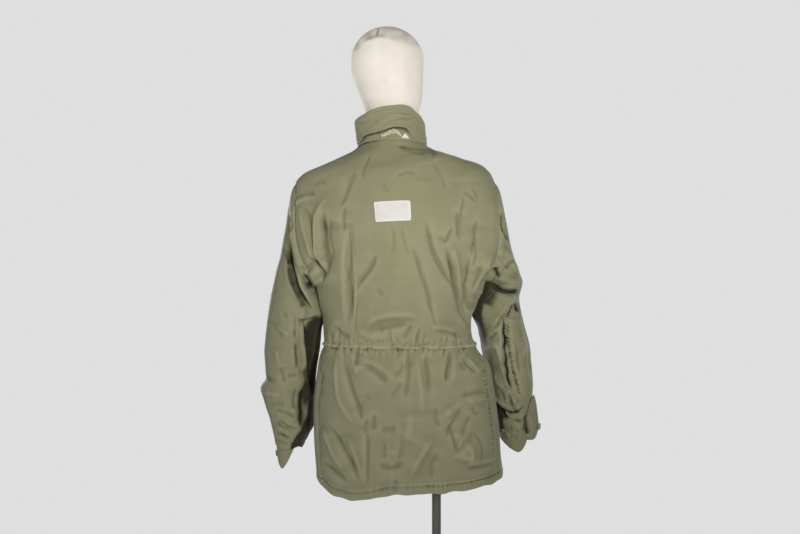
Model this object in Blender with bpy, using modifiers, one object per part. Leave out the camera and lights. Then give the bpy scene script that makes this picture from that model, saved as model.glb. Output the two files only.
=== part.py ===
"""A field jacket hanging on a limbless dress form, on a pole and a round base.

Metres, +Z up. The front of the jacket faces -Y, the wearer's left is +X, and the
origin is the middle of the base's underside, on the floor. The cloth is a thin wall
through rings: a table gives each height's reach to both sides, back and front.
"""
import math

import bpy
import numpy as np

# ---------------------------------------------------------------- driving sizes
WALL = 0.002            # cloth, seams and turnings together
SEAM = 0.0003           # clear gap between pieces that are sewn together
SEAM_SPREAD = 1.6       # the seams' gap at mid wall, as the walls' edges lean together inside
SKIN = 0.0006           # clear gap under a piece that lies on another
BACK_COLUMNS = 44
FRONT_COLUMNS = 16
ARM_ROWS = 10           # rows of the panels along the armhole
COLLAR_COLUMNS = 36
COLLAR_ROWS = 3
FOLD_END = 0.25         # share of a fold's length over which each of its ends fades
FOLD_TAIL = 0.35        # how far that fading lies past the end

# one row for each height of the body: its reach to the wearer's left (x_left) and
# right (x_right), back and front, how square it is (power), where the side seam lies
# (seam_deg, from the side towards the back) and how far the line dips behind and in front
BODY_COLUMNS = ("z", "x_left", "x_right", "y_back", "y_front", "power", "seam_deg", "dip_back", "dip_front")
BODY_SECTIONS = {
    "hem":            (0.756, 0.185, -0.228, 0.122, -0.128, 2.3, 24, -0.021, -0.008),
    "skirt_low":      (0.800, 0.189, -0.225, 0.130, -0.132, 2.3, 23, -0.014, -0.004),
    "skirt_mid":      (0.870, 0.192, -0.221, 0.133, -0.132, 2.3, 22, -0.006, 0.0),
    "skirt_high":     (0.945, 0.190, -0.210, 0.128, -0.126, 2.3, 20, 0.0, 0.0),
    "hip":            (1.000, 0.182, -0.202, 0.119, -0.119, 2.2, 16, 0.0, 0.0),
    "below_waist":    (1.030, 0.175, -0.179, 0.111, -0.112, 2.2, 13, 0.0, 0.0),
    "casing_foot":    (1.046, 0.168, -0.170, 0.107, -0.108, 2.2, 12, 0.0, 0.0),
    "casing_top":     (1.072, 0.170, -0.161, 0.108, -0.110, 2.2, 12, 0.0, 0.0),
    "over_waist":     (1.105, 0.172, -0.160, 0.116, -0.117, 2.2, 12, 0.0, 0.0),
    "ribs":           (1.145, 0.176, -0.168, 0.122, -0.123, 2.2, 12, 0.0, 0.0),
    "underarm":       (1.180, 0.187, -0.187, 0.126, -0.127, 2.2, 12, 0.0, 0.0),
    "chest":          (1.240, 0.228, -0.221, 0.126, -0.128, 2.2, 9, 0.0, 0.0),
    "blade":          (1.300, 0.247, -0.235, 0.122, -0.124, 2.1, 6, 0.0, 0.0),
    "upper_back":     (1.355, 0.245, -0.231, 0.115, -0.114, 2.0, 4, 0.0, 0.0),
    "shoulder_drop":  (1.398, 0.238, -0.219, 0.104, -0.101, 2.0, 3, 0.0, 0.0),
    "shoulder_point": (1.413, 0.231, -0.212, 0.100, -0.096, 2.0, 2, 0.0, -0.004),
    "shoulder_outer": (1.434, 0.210, -0.199, 0.094, -0.091, 2.0, 2, 0.0, -0.013),
    "shoulder_mid":   (1.453, 0.168, -0.177, 0.087, -0.086, 2.0, 2, 0.001, -0.023),
    "shoulder_inner": (1.467, 0.137, -0.132, 0.082, -0.081, 2.0, 2, 0.003, -0.030),
    "neck_rise":      (1.481, 0.106, -0.086, 0.077, -0.076, 2.0, 2, 0.006, -0.038),
    "neck":           (1.492, 0.092, -0.058, 0.072, -0.071, 2.0, 2, 0.010, -0.042),
}
HEM_CURVE = 1.5         # how soon the line behind dips past the side seams
HEM_DROP = 0.0215       # the hem hangs lowest behind, left of the middle
HEM_DROP_DEG = 48.0
HEM_DROP_SPREAD = 27.0
HEM_DROP_LEVELS = 3.0   # rows of the table over which the drop fades
LEVELS = {name: index for index, name in enumerate(BODY_SECTIONS)}
BACK_SCOOP = 17.0       # degrees that the armhole cuts into the back
FRONT_SCOOP = 34.0      # and into the front

# the sleeves' rings from the armhole to the cuff: outer and inner edge in x and z,
# middle and half depth in y, and how much of the armhole's own shape each keeps
SLEEVE_COLUMNS = ("outer_x", "outer_z", "inner_x", "inner_z", "y_mid", "half_depth", "armhole")
SLEEVE_LEFT = {
    "cap_top":   (0.2410, 1.392, 0.1990, 1.1740, -0.010, 0.061, 0.95),
    "cap":       (0.2500, 1.354, 0.1980, 1.1610, -0.013, 0.067, 0.65),
    "cap_low":   (0.2600, 1.304, 0.1910, 1.1430, -0.018, 0.073, 0.32),
    "bicep":     (0.2700, 1.250, 0.1820, 1.1230, -0.023, 0.076, 0.10),
    "upper_arm": (0.2830, 1.192, 0.1790, 1.0970, -0.028, 0.076, 0.0),
    "over_elbow": (0.2950, 1.140, 0.1815, 1.0680, -0.032, 0.074, 0.0),
    "elbow_top": (0.3040, 1.087, 0.1855, 1.0340, -0.036, 0.072, 0.0),
    "elbow":     (0.3090, 1.035, 0.1905, 0.9960, -0.040, 0.069, 0.0),
    "forearm":   (0.3065, 0.988, 0.1940, 0.9580, -0.044, 0.066, 0.0),
    "bulge":     (0.3150, 0.943, 0.1965, 0.9210, -0.048, 0.063, 0.0),
    "stack_top": (0.3080, 0.902, 0.1975, 0.8880, -0.051, 0.059, 0.0),
    "stack":     (0.2960, 0.864, 0.2000, 0.8600, -0.053, 0.055, 0.0),
    "wrist":     (0.2890, 0.836, 0.2120, 0.8350, -0.055, 0.051, 0.0),
    "cuff":      (0.2850, 0.812, 0.2240, 0.8110, -0.056, 0.048, 0.0),
}
SLEEVE_RIGHT = {
    "cap_top":   (-0.2230, 1.392, -0.1960, 1.1740, -0.012, 0.061, 0.95),
    "cap":       (-0.2325, 1.354, -0.1930, 1.1600, -0.016, 0.067, 0.65),
    "cap_low":   (-0.2445, 1.304, -0.1860, 1.1430, -0.021, 0.073, 0.32),
    "bicep":     (-0.2570, 1.252, -0.1790, 1.1230, -0.027, 0.076, 0.10),
    "upper_arm": (-0.2780, 1.194, -0.1770, 1.0990, -0.034, 0.076, 0.0),
    "over_elbow": (-0.2725, 1.143, -0.1810, 1.0700, -0.039, 0.074, 0.0),
    "elbow_top": (-0.2830, 1.090, -0.1875, 1.0400, -0.046, 0.072, 0.0),
    "elbow":     (-0.2960, 1.038, -0.1960, 1.0030, -0.054, 0.068, 0.0),
    "forearm":   (-0.3030, 0.990, -0.2050, 0.9660, -0.061, 0.064, 0.0),
    "bulge":     (-0.3060, 0.945, -0.2110, 0.9300, -0.066, 0.060, 0.0),
    "stack_top": (-0.3020, 0.910, -0.2150, 0.9000, -0.069, 0.056, 0.0),
    "stack":     (-0.2930, 0.880, -0.2200, 0.8760, -0.071, 0.052, 0.0),
    "wrist":     (-0.2850, 0.858, -0.2260, 0.8570, -0.072, 0.049, 0.0),
    "cuff":      (-0.2780, 0.838, -0.2320, 0.8380, -0.072, 0.048, 0.0),
}

# the form inside: plain sections, rounded head, flat foot
FORM_COLUMNS = ("z", "x_mid", "half_width", "y_mid", "half_depth", "power")
FORM_SECTIONS = {
    "foot":      (0.850, -0.006, 0.145, -0.002, 0.094, 2.1),
    "hips":      (0.930, -0.004, 0.158, -0.001, 0.103, 2.1),
    "hip_top":   (1.000, 0.000, 0.154, 0.0, 0.098, 2.1),
    "waist":     (1.058, 0.002, 0.150, 0.0, 0.094, 2.1),
    "rib_low":   (1.130, 0.005, 0.155, 0.0, 0.102, 2.2),
    "rib":       (1.210, 0.008, 0.164, 0.0, 0.108, 2.2),
    "chest":     (1.290, 0.008, 0.180, 0.0, 0.106, 2.2),
    "blade":     (1.350, 0.009, 0.198, 0.0, 0.102, 2.1),
    "deltoid":   (1.390, 0.009, 0.208, 0.0, 0.097, 2.0),
    "shoulder":  (1.413, 0.0085, 0.210, 0.004, 0.090, 2.0),
    "slope_a":   (1.434, 0.0055, 0.197, 0.006, 0.083, 2.0),
    "slope_b":   (1.452, -0.005, 0.1655, 0.012, 0.069, 2.0),
    "slope_c":   (1.466, 0.003, 0.126, 0.013, 0.062, 2.0),
    "neck_foot": (1.480, 0.011, 0.082, 0.011, 0.056, 2.0),
    "neck_low":  (1.494, 0.017, 0.060, 0.007, 0.053, 2.0),
    "neck":      (1.530, 0.017, 0.057, 0.002, 0.055, 2.0),
    "jaw":       (1.571, 0.0174, 0.0600, 0.001, 0.062, 2.0),
    "cheek":     (1.600, 0.0205, 0.0690, 0.0, 0.074, 2.0),
    "face":      (1.640, 0.0265, 0.0790, -0.001, 0.087, 2.0),
    "brow":      (1.680, 0.0290, 0.0820, -0.001, 0.092, 2.0),
    "crown_low": (1.715, 0.0290, 0.0750, 0.0, 0.085, 2.0),
    "crown":     (1.742, 0.0288, 0.0550, 0.002, 0.063, 2.0),
    "crown_top": (1.756, 0.0286, 0.0280, 0.003, 0.032, 2.0),
}
FORM_TOP = (0.0286, 0.003, 1.760)
FORM_COLUMNS_ROUND = 24

# the largest folds: along a line seen from behind or from the front (x, z in metres),
# half width, and how far the cloth stands out (+) or sinks in (-)
FOLD_COLUMNS = ("x_start", "z_start", "x_end", "z_end", "half_width", "height")
BACK_FOLDS = {
    "left_blade_trough":  (0.168, 1.375, 0.168, 1.185, 0.012, -0.008),
    "left_blade_ridge":   (0.190, 1.370, 0.190, 1.230, 0.013, 0.004),
    "left_long_trough":   (0.114, 1.320, 0.112, 1.110, 0.016, -0.004),
    "right_blade_trough": (-0.096, 1.280, -0.128, 1.165, 0.013, -0.008),
    "right_rib_trough":   (-0.128, 1.165, -0.143, 1.100, 0.012, -0.009),
    "right_side_trough":  (-0.163, 1.340, -0.150, 1.170, 0.013, -0.005),
    "right_side_ridge":   (-0.143, 1.330, -0.136, 1.230, 0.012, 0.004),
    "waist_bulge":        (0.062, 1.105, -0.030, 1.112, 0.016, 0.005),
    "hip_ridge_left":     (0.125, 1.020, 0.100, 0.890, 0.012, 0.005),
    "hip_trough_left":    (0.110, 1.020, 0.078, 0.885, 0.011, -0.006),
    "hip_ridge_middle":   (-0.024, 1.025, -0.026, 0.960, 0.012, 0.004),
    "hip_trough_middle":  (-0.052, 1.020, -0.050, 0.930, 0.012, -0.005),
    "hem_trough_left":    (0.155, 0.900, 0.085, 0.760, 0.012, -0.007),
    "hem_ridge_left":     (0.118, 0.860, 0.080, 0.770, 0.011, 0.005),
    "hem_upright_left":   (0.072, 0.880, 0.074, 0.760, 0.010, -0.005),
    "low_ridge_right":    (-0.028, 0.780, -0.070, 0.895, 0.014, 0.006),
    "low_trough_right":   (-0.100, 0.860, -0.120, 0.815, 0.011, -0.008),
    "low_bulge_right":    (-0.142, 0.840, -0.160, 0.800, 0.018, 0.006),
}
FRONT_FOLDS = {
    "chest_trough_left":  (0.165, 1.350, 0.158, 1.200, 0.016, -0.006),
    "chest_trough_right": (-0.150, 1.340, -0.140, 1.180, 0.016, -0.006),
    "rib_trough_left":    (0.110, 1.130, 0.120, 1.085, 0.014, -0.004),
    "hip_trough_left":    (0.150, 1.010, 0.160, 0.860, 0.015, -0.005),
    "hip_ridge_right":    (-0.150, 1.010, -0.165, 0.870, 0.015, 0.005),
    "hem_trough_right":   (-0.175, 0.900, -0.170, 0.790, 0.014, -0.006),
}
GATHER_HEIGHT = 0.0014          # ripple of the drawn-in waist, alternate columns out and in
GATHER_REACH = 0.030            # how far above and below the casing it fades

SLEEVE_START = 0.0022           # the sleeve's first ring outside the armhole, both at mid wall
RING_STEP = 0.038               # metres along the sleeve from ring to ring
TURN_STEP = 0.00115             # metres round the sleeve for one degree

# folds of the sleeves: ring number and turn (0 out, 90 behind, 180 in) at both ends,
# half width in metres, height
SLEEVE_FOLD_COLUMNS = ("ring_start", "turn_start", "ring_end", "turn_end", "half_width", "height")
SLEEVE_FOLDS_LEFT = {
    "back_trough":   (2.0, 70, 6.5, 135, 0.013, -0.010),
    "inner_ridge":   (3.0, 120, 6.0, 160, 0.012, 0.005),
    "elbow_upright": (6.5, 110, 9.0, 105, 0.011, -0.007),
    "bulge_crease":  (8.6, 10, 9.0, 100, 0.013, -0.006),
    "stack_ridge":   (9.5, -20, 9.9, 110, 0.013, 0.005),
    "stack_crease":  (11.0, 10, 11.4, 120, 0.011, -0.006),
    "front_crease":  (6.5, 230, 8.0, 300, 0.014, -0.006),
    "front_stack":   (10.4, 220, 10.6, 320, 0.012, -0.005),
}
SLEEVE_FOLDS_RIGHT = {
    "elbow_overhang": (4.2, -20, 4.6, 100, 0.013, 0.007),
    "elbow_under":   (5.2, -10, 5.6, 90, 0.012, -0.009),
    "long_ridge":    (5.6, 60, 8.0, 135, 0.015, 0.007),
    "long_slit":     (6.6, 80, 11.0, 78, 0.011, -0.008),
    "wrist_crease":  (11.2, 30, 11.6, 130, 0.011, -0.005),
    "front_crease":  (5.0, 230, 7.0, 310, 0.014, -0.006),
    "front_stack":   (10.2, 220, 10.5, 320, 0.012, -0.005),
}

# the flared guard outside the right cuff: ring, half spread in degrees, how far it
# stands out and how far it hangs below that ring
FLARE_COLUMNS = ("ring", "half_spread", "lift", "drop")
FLARE_TURN = 8.0
CUFF_FLARE = {
    "root":  (11.0, 16, 0.0022, 0.0),
    "swell": (11.5, 30, 0.0220, 0.0),
    "broad": (12.4, 38, 0.0310, 0.0),
    "low":   (13.3, 38, 0.0360, 0.0),
    "edge":  (14.0, 22, 0.0340, 0.010),
}
GUARD_WALL = 0.0016
GUARD_GAP = 0.0008              # clear gap between a guard and the cuff round it
GUARD_TUCK = 0.018              # how far a guard reaches up inside its cuff
GUARD_NARROWING = 0.86          # share of its width that a guard loses down to its point
# the pointed guards inside the cuffs: middle and half spread in degrees, length below the cuff
GUARD_COLUMNS = ("side", "turn", "half_spread", "length")
CUFF_GUARDS = {
    "cuff_guard_left": ("left", 62.0, 58.0, 0.046),
    "cuff_guard_right": ("right", 68.0, 56.0, 0.036),
}

TAB_GAP = 0.0010                # clear gap under the cuffs' tabs
TAB_LEFT_DROPS = (0.010, 0.018)         # below the left cuff, on its guard
TAB_LEFT_ACROSS = (-0.95, -0.80, -0.65)
TAB_RIGHT_ROWS = (2.7, 3.2)             # rows of the right cuff's flare
TAB_RIGHT_ACROSS = (-0.3, 0.0, 0.3)

# stand-up collar: half widths of its top edge and that edge's height round the neck
COLLAR_X_MID = 0.0225
COLLAR_HALF_WIDTH = 0.0760
COLLAR_Y_BACK = 0.0720
COLLAR_Y_FRONT = -0.0700
COLLAR_TOP_BACK = 1.5740
COLLAR_TOP_LEFT = 1.5470
COLLAR_TOP_RIGHT = 1.5360
COLLAR_TOP_FRONT = 1.5050
COLLAR_SLOPE_LEFT = 2.5         # how evenly the top edge falls to each side
COLLAR_SLOPE_RIGHT = 5.0
COLLAR_FRONT_GAP = 9.0          # degrees left open on each side of the centre front
COLLAR_LIFT = 0.0018            # the collar's foot above the panels' edge
FLAP_GAP = 0.0008               # clear gap under the collar's flap

# the collar flap's lower edge: angle round the neck and height as a share of the collar
FLAP_EDGE = {
    "left_end":   (12, 0.03),
    "left_root":  (27, 0.05),
    "left_rise":  (43, 0.22),
    "shelf":      (69, 0.24),
    "peak":       (95, 0.36),
    "right_peak": (112, 0.33),
    "right_fall": (119, 0.22),
    "right_root": (127, 0.04),
    "right_end":  (168, 0.03),
}

LABEL_LEFT_X = 0.0560
LABEL_WIDTH = 0.0785
LABEL_LEVELS = (0.38, 0.79, 1.20)   # its lower edge, middle and upper edge above the blade's row
LABEL_WALL = 0.0012

HANGER_START = 72.0             # where the twisted tape starts and how far it sweeps, degrees
HANGER_SWEEP = 34.0
HANGER_WIDTH = 0.0050
HANGER_LIFT = 0.0022            # middle of the tape off the collar's middle
TAPE_WALL = 0.0012

# what is sewn on each front: from and to which level, from and to which column, and
# which layer over the panel it is
POCKET_COLUMNS = ("level_low", "level_high", "column_first", "column_last", "layer")
POCKETS = {
    "pocket_chest": (8.8, 12.3, 5, 12, 1),
    "flap_chest":   (11.7, 13.2, 5, 12, 2),
    "flap_hip":     (2.9, 4.5, 6, 13, 1),
}
FLY_ACROSS = {"left": (0.895, 0.9375, 0.995), "right": (0.995, 0.9375, 0.915)}

POLE_X = -0.0820
POLE_RADIUS = 0.0100
BASE_RADIUS = 0.1800
BASE_THICKNESS = 0.0090
BASE_ROUNDING = 0.0030
SOCKET_HEIGHT = 0.0420
SOCKET_WALL = 0.0040
SOCKET_GAP = 0.0004
SOCKET_FOOT = 0.0100            # how far the socket's foot spreads
SOCKET_FOOT_RISE = 0.0050
SOCKET_CHAMFER = 0.0010
SMOOTH_LIMIT = math.radians(40)

OLIVE = (0.185, 0.175, 0.088)
OLIVE_DARK = (0.150, 0.142, 0.070)
CANVAS = (0.80, 0.76, 0.68)
WHITE = (0.80, 0.80, 0.77)
METAL = (0.05, 0.05, 0.052)


# ---------------------------------------------------------------- small helpers
def material(name, colour, roughness, metallic=0.0):
    result = bpy.data.materials.new(name)
    result.use_nodes = True
    shader = result.node_tree.nodes["Principled BSDF"]
    shader.inputs["Base Color"].default_value = (*colour, 1.0)
    shader.inputs["Roughness"].default_value = roughness
    shader.inputs["Metallic"].default_value = metallic
    result.diffuse_color = (*colour, 1.0)
    return result


def place(name, mesh, skin, collection):
    obj = bpy.data.objects.new(name, mesh)
    mesh.materials.append(skin)
    mesh.shade_smooth()
    mesh.set_sharp_from_angle(angle=SMOOTH_LIMIT)
    collection.objects.link(obj)
    return obj


def smooth_row(table, where):
    """Read a table's columns at fractional row numbers, on a curve through its rows."""
    rows = np.array(list(table.values()), dtype=float)
    where = np.clip(np.asarray(where, dtype=float), 0.0, len(rows) - 1.0)
    first = np.minimum(where.astype(int), len(rows) - 2)
    t = (where - first)[..., None]
    before = rows[np.maximum(first - 1, 0)]
    here = rows[first]
    after = rows[first + 1]
    beyond = rows[np.minimum(first + 2, len(rows) - 1)]
    return 0.5 * (2 * here + (after - before) * t
                  + (2 * before - 5 * here + 4 * after - beyond) * t ** 2
                  + (3 * here - before - 3 * after + beyond) * t ** 3)


def named(columns, values):
    """Values of a table's row by the names of its columns."""
    return dict(zip(columns, values))


def smooth_columns(columns, table, where):
    """The columns of smooth_row by name."""
    return named(columns, np.moveaxis(smooth_row(table, where), -1, 0))


def fade(t):
    t = np.clip(t, 0.0, 1.0)
    return t * t * (3.0 - 2.0 * t)


def power_of(value, exponent):
    return np.sign(value) * np.abs(value) ** exponent


def unit(vectors):
    return vectors / np.maximum(np.linalg.norm(vectors, axis=-1, keepdims=True), 1e-9)


def grid_mesh(name, points, closed=False):
    """A sheet of quads through a grid of points; closed joins the last column to the first."""
    rows, columns = points.shape[:2]
    around = columns if closed else columns - 1
    faces = []
    for row in range(rows - 1):
        for column in range(around):
            beside = (column + 1) % columns
            faces.append((row * columns + column, row * columns + beside,
                          (row + 1) * columns + beside, (row + 1) * columns + column))
    mesh = bpy.data.meshes.new(name)
    mesh.from_pydata([tuple(point) for point in points.reshape(-1, 3).tolist()], [], faces)
    mesh.update()
    return mesh


def cloth(name, points, skin, collection, closed=False, wall=WALL):
    """One cloth piece: a sheet through the points, given its wall by Solidify."""
    obj = place(name, grid_mesh(name, points, closed), skin, collection)
    thick = obj.modifiers.new("wall", "SOLIDIFY")
    thick.thickness = wall
    thick.offset = 0.0
    return obj


# ---------------------------------------------------------------- the body's surface
def line_folds(x, z, table):
    """Height of the straight folds of a table at the points x, z."""
    height = np.zeros_like(x)
    for row in table.values():
        fold = named(FOLD_COLUMNS, row)
        run = np.array([fold["x_end"] - fold["x_start"], fold["z_end"] - fold["z_start"]])
        height += one_fold(x - fold["x_start"], z - fold["z_start"], run, fold)
    return height


def one_fold(right, up, run, fold):
    """Height of a straight fold along run, at points given from its start."""
    length = np.hypot(*run)
    along = (right * run[0] + up * run[1]) / length ** 2
    aside = (right * run[1] - up * run[0]) / length
    ends = fade(along / FOLD_END + FOLD_TAIL) * fade((1.0 - along) / FOLD_END + FOLD_TAIL)
    return fold["height"] * np.exp(-(aside / fold["half_width"]) ** 2) * ends


def ring_point(angle, level):
    """A point of the body's plain surface: angle in degrees from the wearer's left
    side over the back, level a fractional row of the table."""
    s = smooth_columns(BODY_COLUMNS, BODY_SECTIONS, level)
    c = np.cos(np.radians(angle))
    n = np.sin(np.radians(angle))
    middle, half = (s["x_left"] + s["x_right"]) / 2, (s["x_left"] - s["x_right"]) / 2
    x = middle + half * power_of(c, 2 / s["power"])
    y = np.where(n > 0, s["y_back"], -s["y_front"]) * power_of(n, 2 / s["power"])
    dip = s["dip_back"] * np.maximum(n, 0) ** HEM_CURVE + s["dip_front"] * np.maximum(-n, 0) ** 2
    round_it = np.exp(-np.abs((angle - HEM_DROP_DEG) / HEM_DROP_SPREAD) ** 3)
    drop = HEM_DROP * round_it * fade(1.0 - level / HEM_DROP_LEVELS)
    return np.stack([x, y, s["z"] + dip - drop], axis=-1)


def ring_normal(angle, level):
    """The plain surface's outward direction."""
    along = ring_point(angle + 0.5, level) - ring_point(angle - 0.5, level)
    up = ring_point(angle, level + 0.04) - ring_point(angle, level - 0.04)
    return unit(np.cross(along, up))


def seam_half(angle, level):
    """Half of a seam's gap, in degrees round the ring."""
    reach = ring_point(angle + 0.5, level) - ring_point(angle - 0.5, level)
    return SEAM_SPREAD * SEAM / 2 / np.linalg.norm(reach, axis=-1)


def seam_angle(level, scoop):
    """Where a panel's side edge lies: the side seam, or the armhole cut into it."""
    along = (level - LEVELS["underarm"]) / (LEVELS["shoulder_point"] - LEVELS["underarm"])
    cut = np.sin(np.pi * np.clip(along, 0.0, 1.0)) ** 0.8
    return smooth_columns(BODY_COLUMNS, BODY_SECTIONS, level)["seam_deg"] + scoop * cut


def gathers(across, z, columns):
    """The drawn-in waist: alternate columns stand out and sink in near the casing."""
    casing = (BODY_SECTIONS["casing_foot"][0] + BODY_SECTIONS["casing_top"][0]) / 2
    uneven = 0.7 + 0.3 * np.cos(6 * np.pi * across)
    uneven = uneven * fade(np.minimum(across, 1.0 - across) / 0.08)
    near = np.exp(-((z - casing) / GATHER_REACH) ** 2)
    return GATHER_HEIGHT * np.cos(np.pi * columns * across) * uneven * near


def panel_points(levels, across, side):
    """Points of a body panel. side is "back", "left" or "right"; across runs 0 to 1,
    on the back from the left seam, on a front from its side seam to the centre front."""
    level, run = np.meshgrid(np.asarray(levels, float), np.asarray(across, float), indexing="ij")
    if side == "back":
        start = seam_angle(level, BACK_SCOOP)
        start = start + seam_half(start, level)
        angle = start + run * (180.0 - 2 * start)
    else:
        start = seam_angle(level, -FRONT_SCOOP)
        start = start - seam_half(start, level)
        middle = -90.0 + seam_half(-90.0, level)
        angle = start + run * (middle - start)
        if side == "right":
            angle = 180.0 - angle
    plain = ring_point(angle, level)
    normal = ring_normal(angle, level)
    if side == "back":
        quiet = fade(np.minimum(run, 1.0 - run) / 0.09)
        height = line_folds(plain[..., 0], plain[..., 2], BACK_FOLDS) * quiet
        height += gathers(run, plain[..., 2], BACK_COLUMNS)
    else:
        quiet = fade(np.minimum(run, 1.0 - run) / 0.14)
        height = line_folds(plain[..., 0], plain[..., 2], FRONT_FOLDS) * quiet
        height += gathers(run, plain[..., 2], FRONT_COLUMNS)
    return plain + normal * height[..., None], normal


def body_levels():
    """The panels' rows: along the skirt, close about the casing, along the armhole, to the neck."""
    skirt = np.linspace(0, LEVELS["skirt_high"], 6)
    waist = [LEVELS["hip"], LEVELS["below_waist"], LEVELS["casing_foot"], LEVELS["casing_foot"] + 0.5,
             LEVELS["casing_top"], LEVELS["over_waist"], LEVELS["ribs"]]
    armhole = np.linspace(LEVELS["underarm"], LEVELS["shoulder_point"], ARM_ROWS + 1)
    shoulder = np.arange(LEVELS["shoulder_point"] + 1, LEVELS["neck"] + 1)
    return np.concatenate([skirt, waist, armhole, shoulder])


def on_panel(side, levels, across, lift):
    """Points that lie on a panel, moved out by lift."""
    points, normal = panel_points(levels, across, side)
    return points + normal * lift


# ---------------------------------------------------------------- the sleeves
def armhole_loop(side):
    """The armhole as a loop: from the shoulder down the back edge and up the front edge."""
    levels = np.linspace(LEVELS["underarm"], LEVELS["shoulder_point"], ARM_ROWS + 1)
    if side == "left":
        back = panel_points(levels, [0.0, 0.01], "back")[0][:, 0]
        front = panel_points(levels, [0.0, 0.01], "left")[0][:, 0]
    else:
        back = panel_points(levels, [0.99, 1.0], "back")[0][:, 1]
        front = panel_points(levels, [0.0, 0.01], "right")[0][:, 0]
    middle = (back[[0, -1]] + front[[0, -1]]) / 2
    return np.concatenate([middle[1:], back[-2:0:-1], middle[:1], front[1:-1]])


def sleeve_table(side):
    """The sleeve's rings with the armhole's own as the first."""
    loop = armhole_loop(side)
    top, under = loop[0], loop[ARM_ROWS]
    behind, before = loop[ARM_ROWS // 2], loop[ARM_ROWS // 2 + ARM_ROWS]
    y_mid, half_depth = (behind[1] + before[1]) / 2, (behind[1] - before[1]) / 2
    first = (top[0], top[2], under[0], under[2], y_mid, half_depth, 1.0)
    return {"armhole": first, **(SLEEVE_LEFT if side == "left" else SLEEVE_RIGHT)}


def sleeve_points(side, rings, turns):
    """Points of a sleeve at fractional ring numbers and turns in degrees, and its normals."""
    table = sleeve_table(side)
    ring, turn = np.meshgrid(np.asarray(rings, float), np.asarray(turns, float), indexing="ij")
    section = smooth_columns(SLEEVE_COLUMNS, table, ring)
    plain, middle = sleeve_ellipse(section, turn)
    loop = armhole_loop(side)
    steps = len(loop)
    first, _ = sleeve_ellipse(named(SLEEVE_COLUMNS, table["armhole"]), np.arange(steps) * 360.0 / steps)
    spare = loop - first
    place_on_loop = np.mod(turn, 360.0) / 360.0 * steps
    low = np.floor(place_on_loop).astype(int) % steps
    share = (place_on_loop - np.floor(place_on_loop))[..., None]
    keep = section["armhole"][..., None]
    plain = plain + keep * (spare[low] * (1 - share) + spare[(low + 1) % steps] * share)
    out = unit(plain - middle)
    folds = SLEEVE_FOLDS_LEFT if side == "left" else SLEEVE_FOLDS_RIGHT
    plain = plain + out * sleeve_folds(ring, turn, folds)[..., None]
    return plain, out


def sleeve_ellipse(section, turns):
    """A sleeve section's points and its middle, one for each turn."""
    c = np.cos(np.radians(turns))
    n = np.sin(np.radians(turns))
    mid_x = (section["outer_x"] + section["inner_x"]) / 2 + 0 * c
    mid_y = section["y_mid"] + 0 * c
    mid_z = (section["outer_z"] + section["inner_z"]) / 2 + 0 * c
    half_x = (section["outer_x"] - section["inner_x"]) / 2
    half_z = (section["outer_z"] - section["inner_z"]) / 2
    points = [mid_x + half_x * c, mid_y + section["half_depth"] * n, mid_z + half_z * c]
    return np.stack(points, axis=-1), np.stack([mid_x, mid_y, mid_z], axis=-1)


def sleeve_folds(ring, turn, table):
    """Height of a sleeve's folds, none at the armhole."""
    height = np.zeros_like(ring)
    for row in table.values():
        fold = named(SLEEVE_FOLD_COLUMNS, row)
        run = np.array([(fold["ring_end"] - fold["ring_start"]) * RING_STEP,
                        (fold["turn_end"] - fold["turn_start"]) * TURN_STEP])
        down = (ring - fold["ring_start"]) * RING_STEP
        round_it = (np.mod(turn - fold["turn_start"] + 180.0, 360.0) - 180.0) * TURN_STEP
        height += one_fold(down, round_it, run, fold)
    return height * fade(ring / 1.5)


# ---------------------------------------------------------------- the collar
def collar_points(angles, rise):
    """Points of the collar: angle round the neck, rise 0 at the neckline to 1 at the top edge."""
    height, angle = np.meshgrid(np.asarray(rise, float), np.asarray(angles, float), indexing="ij")
    foot = ring_point(angle, np.full_like(angle, LEVELS["neck"]))
    foot[..., 2] += COLLAR_LIFT
    c = np.cos(np.radians(angle))
    n = np.sin(np.radians(angle))
    side_z = np.where(c > 0, COLLAR_TOP_LEFT, COLLAR_TOP_RIGHT)
    middle = np.where(n > 0, COLLAR_TOP_BACK, COLLAR_TOP_FRONT)
    slope = np.where(c > 0, COLLAR_SLOPE_LEFT, COLLAR_SLOPE_RIGHT)
    top = np.stack([COLLAR_X_MID + COLLAR_HALF_WIDTH * c,
                    np.where(n > 0, COLLAR_Y_BACK, -COLLAR_Y_FRONT) * n,
                    middle + (side_z - middle) * np.abs(c) ** slope], axis=-1)
    out = np.stack([c, n, np.zeros_like(c)], axis=-1)
    return foot + (top - foot) * height[..., None], out


def collar_grid(angles, rises):
    """Single points of the collar, one for each angle and its own rise."""
    pairs = [collar_points([angle], [rise]) for angle, rise in zip(angles, rises)]
    return np.array([pair[0][0, 0] for pair in pairs]), np.array([pair[1][0, 0] for pair in pairs])


# ---------------------------------------------------------------- building
def build_body(skin, collection):
    levels = body_levels()
    back, _ = panel_points(levels, np.linspace(0, 1, BACK_COLUMNS + 1), "back")
    cloth("back", back, skin, collection)
    for side in ("left", "right"):
        front, _ = panel_points(levels, np.linspace(0, 1, FRONT_COLUMNS + 1), side)
        cloth("front_" + side, front, skin, collection)


def build_casing(skin, collection):
    levels = [LEVELS["casing_foot"], LEVELS["casing_foot"] + 0.5, LEVELS["casing_top"]]
    lift = WALL + SKIN
    back = on_panel("back", levels, np.linspace(0, 1, BACK_COLUMNS + 1), lift)
    cloth("casing_back", back, skin, collection)
    for side in ("left", "right"):
        front = on_panel(side, levels, np.linspace(0, 1, FRONT_COLUMNS + 1)[:-2], lift)
        cloth("casing_" + side, front, skin, collection)


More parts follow.
